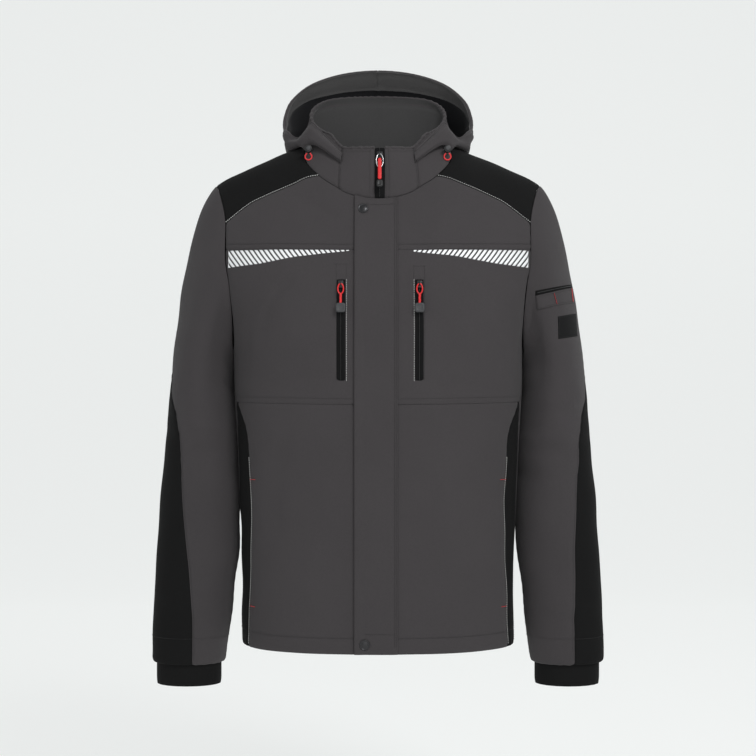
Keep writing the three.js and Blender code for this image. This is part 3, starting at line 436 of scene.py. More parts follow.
def armhole(along):
    # once round from the top of the shoulder: yoke, chest, front, back, blade, yoke
    along = np.asarray(along, float)
    firstX = column(yokeEndRows, "roll", "arm", -along)
    shoulderFront = yokePoint(firstX, np.minimum(-along, -1e-9))
    fall = mix(column(yokeFrontRows, "x", "z", yokeEndX), chestLevels[0], along - 1)
    chest = bodyPoint(True, mix(yokeEndX, chestEndX, along - 1), fall)
    frontZ = level(chestLevels[:frontArmRows + 1], along - 2)
    front = bodyAround(chestEdge(frontZ), frontZ)
    place = (4 - along) * (backTopRows + backArmRows)
    rearZ = level(backLevels[:backArmRows + 1], (place - backTopRows) / backArmRows)
    rear = bodyPoint(False, column(armholeBackRows, "z", "x", rearZ), rearZ)
    bladeZ = mix(column(yokeBackRows, "x", "z", yokeEndX), backTopZ, place / backTopRows)
    blade = bodyPoint(False, mix(yokeEndX, bladeX, place / backTopRows), bladeZ)
    lastX = column(yokeEndRows, "roll", "arm", 5 - along)
    shoulderBack = yokePoint(lastX, np.maximum(5 - along, 0))
    conditions = [along <= 1, along <= 2, along <= 3, (along <= 4) & (place > backTopRows), along <= 4]
    choices = [shoulderFront, chest, front, rear, blade]
    return np.select([c[..., None] for c in conditions], choices, shoulderBack)


def sleeveDegrees(along):
    along = np.asarray(along, float)
    p = armhole(np.where(along < 0, along + 5, along))
    degrees = np.degrees(np.arctan2(-p[..., 1], p[..., 2] - armholeMiddleZ))
    degrees = np.where(along > armpitStop, degrees + 360, degrees)
    return np.where(np.abs(along - armpitStop) < 1e-9, 180, degrees)


def sleeveRing(degrees, z):
    names = ("outer", "inner", "front", "back")
    outer, inner, front, rear = (column(sleeveRows, "z", name, z) for name in names)
    angle = np.radians(degrees)
    x = (outer + inner) / 2 + (outer - inner) / 2 * np.cos(angle)
    return points(x, (front + rear) / 2 - (rear - front) / 2 * np.sin(angle), z)


def sleeveCap(start, degrees, t):
    end = sleeveRing(degrees, capZ)
    below = (sleeveRing(degrees, capZ - 20) - end) / 20
    reach = length(end - start)
    angle = np.radians(degrees)
    outer = (1 + np.cos(angle)) / 2
    (outFrom, outBy), (downFrom, downBy) = capEase["out"], capEase["down"]
    leave = points(
        outFrom + outBy * np.sqrt(outer), capEase["forward"] * np.sin(angle), downFrom + downBy * (1 - outer) ** 2
    )
    t = t[..., None]
    point = start * (2 * t ** 3 - 3 * t ** 2 + 1)
    point = point + leave * reach * (t ** 3 - 2 * t ** 2 + t)
    point = point + end * (3 * t ** 2 - 2 * t ** 3)
    return point + below * capEase["arrive"] * reach * (t ** 3 - t ** 2)


def folded(p, degrees, fade):
    # sinks the folds into the sleeve, towards its middle
    around = (degrees + 180) % 360 - 180
    depth = 0
    for angle, z, wide, tall, deep in sleeveFolds:
        depth = depth + deep * np.exp(-(((around - angle) / wide) ** 2) - ((p[..., 2] - z) / tall) ** 2)
    depth = depth * fade
    angle = np.radians(degrees)
    return p + points(-depth * np.cos(angle), depth * np.sin(angle), 0 * depth)


def sleevePiece(sign, firstStop, lastStop, firstEdge, lastEdge):
    first = float(sleeveDegrees(firstStop))
    last = float(sleeveDegrees(lastStop))

    def surface(u, v):
        along = mix(firstStop, lastStop, u)
        natural = sleeveDegrees(along)
        share = (natural - first) / (last - first)
        place = np.clip(v, 0, 1) * sleeveRowCount
        t = np.maximum(level(capStops, place / capCount), capStart)
        capDegrees = mix(natural, mix(firstEdge(capZ), lastEdge(capZ), share), t)
        start = armhole(np.where(along < 0, along + 5, along))
        cap = folded(sleeveCap(start, capDegrees, t), capDegrees, np.clip(4 * t, 0, 1))
        z = level(sleeveLevels, (place - capCount) / (len(sleeveLevels) - 1))
        degrees = mix(firstEdge(z), lastEdge(z), share)
        lower = folded(sleeveRing(degrees, z), degrees, 1)
        return mirrored(sign, np.where((place <= capCount)[..., None], cap, lower))
    return surface


def panelEdge(name, which, turn=0):
    return lambda z: turn + column(sleevePanelRows[name], "z", which, z)


def underArm(z):
    return 180 + 0 * np.asarray(z, float)


def sleeveFront(name):
    return sleevePiece(sides[name], elbowStop - 5, armpitStop, panelEdge(name, "front"), underArm)


def sleeveBack(name):
    return sleevePiece(sides[name], armpitStop, elbowStop, underArm, panelEdge(name, "back", 360))


def sleeveAt(name, degrees, z):
    degrees = np.asarray(degrees, float)
    return mirrored(sides[name], folded(sleeveRing(degrees, z), degrees, 1))


def sleevePanel(name):
    def surface(u, v):
        place = np.clip(v, 0, 1) * (len(sleeveLevels) - 1)
        z = level(sleeveLevels, place / (len(sleeveLevels) - 1))

        def across(at):
            return mix(column(sleevePanelRows[name], "z", "back", at),
                       column(sleevePanelRows[name], "z", "front", at), u)
        lower = sleeveAt(name, across(z), z)
        tip = sleeveAt(name, across(capZ), capZ)
        first = sleeveAt(name, across(sleeveLevels[1]), sleeveLevels[1])
        top = mix(tip, first, mix(panelTip, 1, place)[..., None])
        return np.where((place <= 1)[..., None], top, lower)
    return surface


def cuff(sign):
    def surface(u, v):
        angle = 2 * np.pi * u
        x = cuffX + cuffHalfX * np.cos(angle)
        return mirrored(sign, points(x, cuffY - cuffHalfY * np.sin(angle), mix(cuffTopZ, cuffEndZ, v)))
    return surface


# Collar and hood

def neckLoop(sign, along):
    along = np.asarray(along, float)
    front = frontUpper(sign)(np.clip(along, 0, 1) * innerPart, 0 * along)
    over = yoke(sign)(0 * along, np.clip(along - 1, 0, 1))
    x = mix(backNeckX, 0, np.clip(along - 2, 0, 1))
    rear = mirrored(sign, bodyPoint(False, x, column(neckBackRows, "x", "z", x)))
    conditions = [(along <= 1)[..., None], (along <= 2)[..., None]]
    return np.select(conditions, [front, over], rear)


def collarPoint(sign, along, v):
    along, v = np.broadcast_arrays(np.asarray(along, float), np.asarray(v, float))
    seam = neckLoop(sign, along)
    drawn = 1 - 1.5 * seamGap / np.hypot(seam[..., 0], seam[..., 1])
    seam = points(seam[..., 0] * drawn, seam[..., 1] * drawn, seam[..., 2] + seamGap)
    shift = sign * zipCentre * (1 - np.clip(along / collarPanelEnd, 0, 1))
    x, y, z = (column(collarRimRows, "along", n, along) for n in "xyz")
    point = mix(seam, mirrored(sign, points(x + shift, y, z)), v[..., None])
    bow = collarBow * 4 * v * (1 - v) / np.hypot(point[..., 0], point[..., 1])
    return points(point[..., 0] * (1 + bow), point[..., 1] * (1 + bow), point[..., 2])


def collarRound(start):
    def surface(u, v):
        right = collarPoint(-1, mix(start, 3, np.clip(2 * u, 0, 1)), v)
        left = collarPoint(1, mix(start, 3, np.clip(2 - 2 * u, 0, 1)), v)
        return np.where((u < 0.5)[..., None], right, left)
    return surface


def collarFront(sign):
    return lambda u, v: collarPoint(sign, collarPanelEnd * u, v)


def collarZip(u, v):
    right = collarPoint(-1, 0 * u, v)
    left = collarPoint(1, 0 * u, v)
    return mix(right, left, u[..., None])


hoodTable = {"at": [-hoodAt[1], *hoodAt]}
hoodNames = ("seam", "low", "out", "rim")
for hoodName, hoodLine in zip(hoodNames, (hoodSeam, hoodLow, hoodOut, hoodRim)):
    hoodLine = [(-hoodLine[1][0], *hoodLine[1][1:]), *hoodLine]
    for hoodAxis in range(3):
        hoodTable[hoodName + "xyz"[hoodAxis]] = [p[hoodAxis] for p in hoodLine]


def hoodSurface(sign):
    def surface(at, v):
        at, v = np.broadcast_arrays(np.asarray(at, float), np.asarray(v, float))
        coordinates = []
        place = np.clip(v, 0, 1) * 3
        i = np.minimum(place.astype(int), 2)
        t = place - i
        for axis in "xyz":
            seam, low, out, rim = (column(hoodTable, "at", name + axis, at) for name in hoodNames)
            values = np.stack([seam, low, out, rim])
            slopes = np.stack([3 * (low - seam), 1.5 * (out - seam), 1.5 * (rim - low), 3 * (rim - out)])
            a, b, p, q = (
                np.take_along_axis(rows, i[None] + step, 0)[0] for rows in (values, slopes) for step in (0, 1)
            )
            ends = p / 3 * t * (1 - t) ** 2 - q / 3 * t * t * (1 - t)
            coordinates.append(mix(a, b, t * t * (3 - 2 * t)) + ends)
        return mirrored(sign, points(*coordinates))
    return surface


# Creases: soft troughs and ridges laid over the panels, uneven as on a filled-out jacket
creases = {
    "strength": 1.7,
    # the body's swell towards the sleeves: height, half depth, middle z, half height
    "side": (3.2, 55, -428, 132),
    "unevenness": 0.45,   # height of the slow swell of the cloth
    "seed": 7,
    # x, z of the middle, degrees from level, half length, half width, height; front at -Y
    "front": [
        (-150, -205, 58, 60, 9, -1.3), (-172, -230, 66, 55, 7, 1.1), (-188, -268, 74, 50, 7, -1.4),
        (160, -200, -60, 58, 9, -1.2), (178, -238, -68, 52, 7, 1.2), (190, -272, -76, 46, 7, -1.3),
        (-120, -322, 8, 70, 10, -0.9), (128, -330, -9, 64, 9, -0.9), (-90, -70, -28, 44, 8, -0.8),
        (96, -74, 30, 42, 8, -0.8), (-150, -470, 82, 90, 14, -1.2), (146, -520, -84, 110, 15, -1.1),
        (-96, -590, 86, 80, 16, 0.9), (92, -440, -86, 90, 15, 0.8), (-160, -640, 70, 40, 10, -0.8),
        (150, -650, -72, 42, 10, -0.8), (-110, -160, 12, 60, 12, 0.6), (118, -170, -10, 60, 12, 0.6),
    ],
    "back": [
        (-150, -200, 62, 70, 10, -1.6), (150, -210, -64, 66, 10, -1.5), (-176, -250, 72, 52, 8, 1.3),
        (178, -246, -74, 50, 8, 1.3), (-60, -330, 6, 90, 12, -1.6), (70, -352, -8, 90, 12, -1.4),
        (20, -400, 3, 110, 13, -1.3), (-80, -560, 84, 110, 18, -1.1), (84, -540, -82, 110, 18, -1.0),
        (0, -120, 4, 70, 14, 0.9), (10, -300, -3, 100, 12, 0.9), (-130, -640, 70, 50, 12, -0.9),
    ],
    # degrees round, z, half size round, half size up, height; the left sleeve's lie a little further round
    "leftShift": (9, -11),
    "sleeve": [
        (150, -262, 26, 30, -1.6), (168, -292, 24, 16, 1.2), (150, -330, 40, 12, -1.5),
        (60, -342, 34, 9, 0.9), (118, -395, 34, 9, 1.1), (40, -402, 30, 10, -1.1), (82, -455, 36, 10, -1.0),
        (150, -450, 34, 12, -1.2), (-100, -430, 40, 10, -1.5), (-130, -380, 36, 10, 1.1),
        (-70, -470, 34, 12, -1.1), (100, -590, 34, 40, -0.8), (-60, -610, 36, 30, -0.9),
        (180, -430, 42, 130, 1.6), (60, -640, 40, 9, 0.8), (110, -700, 40, 8, -0.9),
        (-100, -690, 44, 9, -1.0), (200, -520, 30, 60, -1.0),
    ],
    "hood": [
        (70, 62, 26, 5, -1.6), (78, 44, 22, 4, 1.3), (84, 34, 20, 4, -1.3), (-66, 66, 26, 5, -1.4),
        (-76, 48, 22, 5, 1.2), (-84, 36, 20, 4, -1.4), (30, 10, 30, 9, -1.8), (-34, 4, 32, 10, -1.8),
        (0, -20, 40, 9, 1.4), (14, 60, 30, 12, -1.0), (-20, 70, 30, 12, -0.9), (120, 32, 14, 4, -0.8),
    ],
    "collar": (0.35, 11, 0.03),   # ripples of the collar: height, count round, slant
}

swellMaker = np.random.default_rng(creases["seed"])
swells = [
    (swellMaker.normal(size=3), swellMaker.uniform(45, 130), swellMaker.uniform(0, 2 * np.pi))
    for _ in range(9)
]


def swell(p):
    total = 0
    for way, wavelength, phase in swells:
        way = way / np.linalg.norm(way)
        total = total + np.sin(2 * np.pi * (p @ way) / wavelength + phase)
    return creases["unevenness"] * total / 2


def creaseSum(rows, x, z):
    total = 0
    for midX, midZ, degrees, long, wide, height in rows:
        angle = math.radians(degrees)
        along = (x - midX) * math.cos(angle) + (z - midZ) * math.sin(angle)
        across = -(x - midX) * math.sin(angle) + (z - midZ) * math.cos(angle)
        bent = across + 0.12 * along * np.sin(along / long * 1.7)
        total = total + height * np.exp(-((along / long) ** 2) - (bent / wide) ** 2)
    return creases["strength"] * total


def bodyRelief(p):
    x, y, z = p[..., 0], p[..., 1], p[..., 2]
    high, deep, middleZ, tall = creases["side"]
    beside = high * np.exp(-((y / deep) ** 2) - ((z - middleZ) / tall) ** 4) * (np.abs(x) > 120)
    share = np.clip(-y / 60, -1, 1)
    front = creaseSum(creases["front"], x, z) * np.clip(share, 0, 1)
    rear = creaseSum(creases["back"], x, z) * np.clip(-share, 0, 1)
    return front + rear + beside + swell(p)


def sleeveRelief(name):
    shiftRound, shiftUp = creases["leftShift"] if name == "left" else (0, 0)

    def relief(p):
        z = p[..., 2]
        x = np.abs(p[..., 0])
        middleX = (column(sleeveRows, "z", "outer", z) + column(sleeveRows, "z", "inner", z)) / 2
        middleY = (column(sleeveRows, "z", "front", z) + column(sleeveRows, "z", "back", z)) / 2
        degrees = np.degrees(np.arctan2(-(p[..., 1] - middleY), x - middleX))
        total = 0
        for angle, midZ, wide, tall, height in creases["sleeve"]:
            turn = (degrees - (angle + shiftRound) + 180) % 360 - 180
            lean = (z - (midZ + shiftUp)) + 0.16 * turn
            total = total + height * np.exp(-((turn / wide) ** 2) - (lean / tall) ** 2)
        fade = np.clip((-738 - z) / -60, 0, 1) * np.clip((-150 - z) / 60, 0, 1)
        return creases["strength"] * total * fade + swell(p) * np.clip((z + 738) / 20, 0, 1)
    return relief


def collarRelief(p):
    height, count, slant = creases["collar"]
    ring = np.arctan2(p[..., 0], -p[..., 1])
    return height * np.sin(ring * count + slant * p[..., 2]) + 0.5 * swell(p)


def hoodRelief(p):
    ring = np.degrees(np.arctan2(p[..., 0], p[..., 1]))
    folds = 0
    for angle, z, wide, tall, height in creases["hood"]:
        a = ((ring - angle + 180) % 360 - 180) / wide
        lean = (p[..., 2] - z) / tall
        folds = folds + height * np.exp(-a * a - lean * lean)
    return folds + swell(p)


def plain(p):
    return 0 * p[..., 0]


# Cloth walls: a grid of outer points and a grid of inner points, closed at the edges

def square(surface, u, v, sign):
    step = 0.003
    across = surface(u + step, v) - surface(u - step, v)
    along = surface(u, v + step) - surface(u, v - step)
    return unit(np.cross(across, along)) * sign


def outwardSign(surface, middle):
    u = np.array([0.5])
    here = surface(u, u)
    return -1 if (square(surface, u, u, 1)[0] @ (here - middle(here))[0]) < 0 else 1


def bodyMiddle(p):
    return points(p[..., 0] * 0.3, 0, np.minimum(p[..., 2], -90) - 0.1)


def sleeveMiddle(sign):
    return lambda p: points(sign * mix(250, 272, np.clip(-p[..., 2] / 700, 0, 1)), -10, p[..., 2])


def collarMiddle(p):
    return p * np.array([0.5, 0.5, 1])


def hoodMiddle(p):
    return points(p[..., 0] * 0.75, p[..., 1] * 0.75, 60)


def gridStops(start, end, span, pitch, fine=True):
    # stops from start to end over a span in mm, closer together near both ends
    stops = np.linspace(0, span, max(int(round(span / pitch)), 2) + 1)
    if fine:
        near = np.array([0.6, 1.3, 2.2])
        inner = stops[(stops > 3) & (stops < span - 3)]
        stops = np.concatenate([[0], near, inner, span - near[::-1], [span]])
    return mix(start, end, stops / span)


def makeObject(name, vertices, faces, material, uv=None, smooth=True):
    mesh = bpy.data.meshes.new(name)
    mesh.from_pydata(np.asarray(vertices, float).tolist(), [], [list(map(int, f)) for f in faces])
    if uv is not None:
        layer = mesh.uv_layers.new(name="cloth")
        corners = np.empty(len(mesh.loops), int)
        mesh.loops.foreach_get("vertex_index", corners)
        layer.data.foreach_set("uv", np.asarray(uv, float)[corners].ravel())
    mesh.polygons.foreach_set("use_smooth", [smooth] * len(mesh.polygons))
    mesh.materials.append(material)
    mesh.update()
    made = bpy.data.objects.new(name, mesh)
    bpy.context.scene.collection.objects.link(made)
    return made


def gridFaces(rows, columns, ring=False):
    index = np.arange(rows * columns).reshape(rows, columns)
    right = np.roll(index, -1, axis=1)
    cells = columns if ring else columns - 1
    a, b = index[:-1, :cells], right[:-1, :cells]
    c, d = right[1:, :cells], index[1:, :cells]
    return np.stack([a, b, c, d], axis=-1).reshape(-1, 4)


def edgeLoops(rows, columns, ring):
    index = np.arange(rows * columns).reshape(rows, columns)
    if ring:
        return [np.append(index[0], index[0, 0]), np.append(index[-1], index[-1, 0])[::-1]]
    loop = np.concatenate([index[0], index[1:, -1], index[-1, -2::-1], index[-2:0:-1, 0], index[:1, 0]])
    return [loop]


def closedFaces(rows, columns, ring=False):
    # faces of a wall between two grids of points, the inner one's points after the outer one's
    count = rows * columns
    faces = gridFaces(rows, columns, ring)
    walls = [
        np.stack([loop[1:], loop[:-1], loop[:-1] + count, loop[1:] + count], axis=-1)
        for loop in edgeLoops(rows, columns, ring)
    ]
    return np.concatenate([faces, faces[:, ::-1] + count, *walls])


def cappedFaces(rows, columns):
    # faces of rings of points, one after another, with a flat cap at both ends
    last = (rows - 1) * columns
    caps = [list(range(columns))[::-1], list(range(last, last + columns))]
    return gridFaces(rows, columns, True).tolist() + caps


def arcLengths(grid):
    across = np.cumsum(np.linalg.norm(np.diff(grid, axis=1), axis=-1), axis=1)
    along = np.cumsum(np.linalg.norm(np.diff(grid, axis=0), axis=-1), axis=0)
    across = np.pad(across, ((0, 0), (1, 0)))
    along = np.pad(along, ((1, 0), (0, 0)))
    return across, along


def gridArea(grid):
    a = np.cross(grid[1:, :-1] - grid[:-1, :-1], grid[:-1, 1:] - grid[:-1, :-1])
    b = np.cross(grid[1:, :-1] - grid[1:, 1:], grid[:-1, 1:] - grid[1:, 1:])
    return float((np.linalg.norm(a, axis=-1) + np.linalg.norm(b, axis=-1)).sum() / 2)


def signedVolume(vertices, quads):
    a, b, c, d = (vertices[quads[:, i]] for i in range(4))
    return float((np.cross(a, b) * c).sum() + (np.cross(a, c) * d).sum())


seamRoll = {
    "depth": 0.95,   # how far a seamed edge turns down
    "reach": 2.6,    # over what width
    "pucker": 0.3,   # height of the ripples that the seam draws up beside it
    "puckerReach": 8,
    "puckerWave": 15,
    "inside": 0.4,   # the most that the inner face follows a ridge
}
panels = {}


def clothPanel(name, surface, us, vs, middle, material, options):
    # a closed wall of cloth on a surface; valleys and hollows are (edge, distance, depth, half width)
    lift = options.get("lift", 0)
    thick = options.get("thick", cloth)
    ring = options.get("ring", False)
    opened = options.get("open", [])
    relief = options.get("relief", bodyRelief)
    rolled = options.get("roll", 1) * seamRoll["depth"]
    u, v = np.meshgrid(us, vs)
    skin = surface(u, v)
    sign = outwardSign(surface, middle)
    normal = square(surface, u, v, sign)
    across, along = arcLengths(skin)
    edges = {"start": across, "end": across[:, -1:] - across, "top": along, "bottom": along[-1:] - along}
    if ring:
        edges = {k: edges[k] for k in ("top", "bottom")}
    height = relief(skin)
    inward = np.zeros_like(skin)
    for edge, distance in edges.items():
        if edge in opened:
            continue
        height = height - rolled * np.exp(-((distance / seamRoll["reach"]) ** 2))
        beside = across if edge in ("top", "bottom") else along
        wave = np.sin(2 * np.pi * beside / seamRoll["puckerWave"] + 1.3 * np.sin(beside / 37) + len(name))
        fade = np.exp(-((distance / seamRoll["puckerReach"]) ** 2)) * (0.6 + 0.4 * np.sin(beside / 61 + 2))
        height = height + seamRoll["pucker"] * wave * fade
        step = {"start": (0, 1), "end": (0, -1), "top": (1, 0), "bottom": (-1, 0)}[edge]
        pull = np.roll(skin, (-step[0], -step[1]), axis=(0, 1)) - skin
        tangent = unit(np.gradient(skin, axis=0 if step[0] == 0 else 1))
        pull = unit(pull - (pull * tangent).sum(-1, keepdims=True) * tangent)
        close = np.zeros_like(distance)
        place = {"start": np.s_[:, 0], "end": np.s_[:, -1], "top": np.s_[0], "bottom": np.s_[-1]}[edge]
        close[place] = options.get("gap", seamGap) / 2
        inward = inward + pull * close[..., None]
    for edge, away, deep, wide in options.get("valleys", []):
        height = height - deep * np.exp(-(((edges[edge] - away) / wide) ** 2))
    under = np.minimum(height, seamRoll["inside"])
    for edge, away, deep, wide in options.get("hollows", []):
        under = under + deep * np.exp(-(((edges[edge] - away) / wide) ** 2))
    for edge, high, wide in options.get("free", []):
        rise = high * np.exp(-((edges[edge] / wide) ** 2))
        height = height + rise
        under = under + rise
    outer = skin + inward + normal * (lift + height)[..., None]
    inner = skin + inward + normal * (lift + under - thick)[..., None]
    columns = skin.shape[1]
    vertices = np.concatenate([outer.reshape(-1, 3), inner.reshape(-1, 3)])
    shell = closedFaces(*skin.shape[:2], ring)
    if signedVolume(vertices, shell) < 0:
        shell = shell[:, ::-1]
    uv = np.stack([across, along], axis=-1).reshape(-1, 2) * mm
    made = makeObject(name + "_cloth", vertices * mm, shell, material, np.concatenate([uv, uv]))
    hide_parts(name)
    width = float(across[:, -1].max()) * mm
    tall = float(along[-1].max()) * mm
    if ring:
        width = float((across[:, -1] + np.linalg.norm(skin[:, -1] - skin[:, 0], axis=-1)).max()) * mm
    area = min(gridArea(skin) * mm * mm * (1 if not ring else columns / (columns - 1)), width * tall)
    panels[name] = {"object": made, "surface": surface, "sign": sign, "relief": relief, "lift": lift}
    panels[name]["flat"] = (max(width, 0.011), max(tall, 0.011), area)
    return made


def raised(name, u, v, height):
    # points over a panel, on its creases
    panel = panels[name]
    u, v = np.broadcast_arrays(np.asarray(u, float), np.asarray(v, float))
    p = panel["surface"](u, v)
    normal = square(panel["surface"], u, v, panel["sign"])
    return p + normal * (panel["lift"] + panel["relief"](p) + height)[..., None]


def onBody(x, z, height, front=True):
    # points over the body by their place seen from the front, on its creases
    x, z = np.broadcast_arrays(np.asarray(x, float), np.asarray(z, float))
    p = bodyPoint(front, x, z)
    across = bodyPoint(front, x + 0.5, z) - bodyPoint(front, x - 0.5, z)
    along = bodyPoint(front, x, z + 0.5) - bodyPoint(front, x, z - 0.5)
    normal = unit(np.cross(across, along))
    normal = normal * np.where((normal[..., 1] < 0) == front, 1, -1)[..., None]
    return p + normal * (bodyRelief(p) + height)[..., None]


# Materials

def newMaterial(name, colour, roughness, metallic=0.0):
    material = bpy.data.materials.new(name)
    material.use_nodes = True
    material.diffuse_color = (*colour, 1)
    shader = material.node_tree.nodes["Principled BSDF"]
    shader.inputs["Base Color"].default_value = (*colour, 1)
    shader.inputs["Roughness"].default_value = roughness
    shader.inputs["Metallic"].default_value = metallic
    return material


def mottle(material, colour, spread, scales, coordinate):
    # two sizes of noise vary the colour a little either way
    nodes, links = material.node_tree.nodes, material.node_tree.links
    last = None
    for scale, weight in scales:
        noise = nodes.new("ShaderNodeTexNoise")
        noise.inputs["Scale"].default_value = scale
        noise.inputs["Detail"].default_value = 3
        links.new(coordinate, noise.inputs["Vector"])
        scaled = nodes.new("ShaderNodeMath")
        scaled.operation = "MULTIPLY_ADD"
        scaled.inputs[1].default_value = weight
        scaled.inputs[2].default_value = 0
        links.new(noise.outputs["Fac"], scaled.inputs[0])
        if last:
            links.new(last.outputs[0], scaled.inputs[2])
        last = scaled
    blend = nodes.new("ShaderNodeMix")
    blend.data_type = "RGBA"
    blend.inputs[6].default_value = (*[c * (1 - spread) for c in colour], 1)
    blend.inputs[7].default_value = (*[min(c * (1 + spread), 1) for c in colour], 1)
    links.new(last.outputs[0], blend.inputs[0])
    links.new(blend.outputs[2], nodes["Principled BSDF"].inputs["Base Color"])
    return last


def bump(material, height, strength, distance):
    nodes, links = material.node_tree.nodes, material.node_tree.links
    node = nodes.new("ShaderNodeBump")
    node.inputs["Strength"].default_value = strength
    node.inputs["Distance"].default_value = distance
    links.new(height, node.inputs["Height"])
    links.new(node.outputs["Normal"], nodes["Principled BSDF"].inputs["Normal"])


def wovenMaterial(name, colour, thread, strength, roughness=0.82, sheen=0.08, spread=0.3, shine=0.2):
    # a fine weave in the cloth's own UV map, threads this far apart in metres
    material = newMaterial(name, colour, roughness)
    nodes, links = material.node_tree.nodes, material.node_tree.links
    shader = nodes["Principled BSDF"]
    shader.inputs["Sheen Weight"].default_value = sheen
    shader.inputs["Sheen Roughness"].default_value = 0.45
    shader.inputs["Specular IOR Level"].default_value = shine
    uv = nodes.new("ShaderNodeUVMap")
    uv.uv_map = "cloth"
    place = nodes.new("ShaderNodeTexCoord")
    waves = []
    for direction in ("X", "Y"):
        wave = nodes.new("ShaderNodeTexWave")
        wave.bands_direction = direction
        wave.inputs["Scale"].default_value = 2 * math.pi / (20 * thread)
        wave.inputs["Distortion"].default_value = 0.6
        wave.inputs["Detail"].default_value = 1
        links.new(uv.outputs["UV"], wave.inputs["Vector"])
        waves.append(wave)
    weave = nodes.new("ShaderNodeMath")
    weave.operation = "MULTIPLY"
    links.new(waves[0].outputs["Fac"], weave.inputs[0])
    links.new(waves[1].outputs["Fac"], weave.inputs[1])
    mottle(material, colour, spread, [(9, 0.3), (380, 0.35), (1500, 0.35)], place.outputs["Object"])
    bump(material, weave.outputs[0], strength, thread * 0.35)
    return material


def grainMaterial(name, colour, roughness, scale, strength, metallic=0.0, coat=0.0, spread=0.1):
    # moulded or enamelled surfaces, with a fine grain on Object coordinates
    material = newMaterial(name, colour, roughness, metallic)
    nodes = material.node_tree.nodes
    nodes["Principled BSDF"].inputs["Coat Weight"].default_value = coat
    place = nodes.new("ShaderNodeTexCoord")
    height = mottle(material, colour, spread, [(scale, 0.7), (scale * 4, 0.3)], place.outputs["Object"])
    bump(material, height.outputs[0], strength, 0.0001)
    return material


finishes = {
    "softshell": wovenMaterial("softshell", (0.049, 0.0446, 0.0466), 0.0009, 0.6),
    "blackSoftshell": wovenMaterial(
        "blackSoftshell", (0.0085, 0.0085, 0.0086), 0.0009, 0.5, 0.85, 0.015, shine=0.08
    ),
    "innerSoftshell": wovenMaterial("innerSoftshell", (0.0445, 0.0438, 0.044), 0.0012, 0.4, 0.9, 0.2),
    # the facing is coloured lighter than the shell: painted light, making up for the shade inside the hood
    "facing": wovenMaterial("facing", (0.078, 0.0765, 0.0765), 0.0009, 0.6),
    "lining": wovenMaterial("lining", (0.014, 0.014, 0.016), 0.0008, 0.3, 0.85, 0.1),
    "zipTape": wovenMaterial("zipTape", (0.007, 0.007, 0.0074), 0.0011, 0.9, 0.8, 0.01, shine=0.1),
    "label": wovenMaterial("label", (0.009, 0.009, 0.0095), 0.0007, 0.9, 0.75, 0.02, shine=0.12),
    "greyThread": grainMaterial("greyThread", (0.026, 0.0245, 0.025), 0.7, 2500, 0.6),
    "blackThread": grainMaterial("blackThread", (0.016, 0.016, 0.0165), 0.6, 2500, 0.6),
    "piping": grainMaterial("piping", (0.5, 0.5, 0.49), 0.5, 3000, 0.5),
    "redThread": grainMaterial("redThread", (0.62, 0.035, 0.04), 0.55, 2500, 0.6),
    "reflective": grainMaterial("reflective", (0.86, 0.87, 0.88), 0.32, 4000, 0.35, spread=0.04),
    "coil": grainMaterial("coil", (0.008, 0.008, 0.0085), 0.45, 1500, 0.3),
    "enamel": grainMaterial("enamel", (0.016, 0.016, 0.017), 0.3, 900, 0.25, metallic=0.4, coat=0.3),
    "redRubber": grainMaterial("redRubber", (0.63, 0.012, 0.014), 0.45, 1800, 0.3),
    "greyRubber": grainMaterial("greyRubber", (0.034, 0.035, 0.038), 0.5, 1600, 0.4),
    "blackRubber": grainMaterial("blackRubber", (0.009, 0.009, 0.0095), 0.42, 1600, 0.4),
    "steel": grainMaterial("steel", (0.62, 0.62, 0.63), 0.28, 700, 0.2, metallic=1.0),
    "gunmetal": grainMaterial("gunmetal", (0.034, 0.034, 0.036), 0.3, 900, 0.3, metallic=0.7),
    "cordLock": grainMaterial("cordLock", (0.009, 0.009, 0.01), 0.4, 1200, 0.3),
    "redCord": grainMaterial("redCord", (0.66, 0.03, 0.035), 0.6, 2600, 0.8),
}
print("materials made")

# Cloth panels, each in place of its solid
pitch = 4.2  # mm between the grid lines of a panel


def makePanel(name, surface, size, middle, finish, slotName, places=None, **options):
    us, vs = places or ((0, 1), (0, 1))
    ring = options.get("ring", False)
    columnsAt = gridStops(*us, size[0], pitch, not ring)
    if ring:
        columnsAt = columnsAt[:-1]
    rowsAt = gridStops(*vs, size[1], options.pop("rowPitch", pitch))
    return clothPanel(name, surface, columnsAt, rowsAt, middle, finishes[finish], options)


def cuffMiddle(sign):
    return lambda p: points(sign * cuffX, cuffY, p[..., 2])


def cuffRelief(p):
    turn = np.arctan2(p[..., 1] - cuffY, np.abs(p[..., 0]) - cuffX)
    return 0.12 * np.sin(turn * 60) - 0.3 * np.exp(-(((p[..., 2] + 768) / 2) ** 2))


def chestTape(x0, x1):
    return lambda u, v: bodyPoint(True, mix(x0, x1, u), mix(*chestZipEnds, v))


grey = ("softshell", "softshell")
black = ("blackSoftshell", "black_softshell")
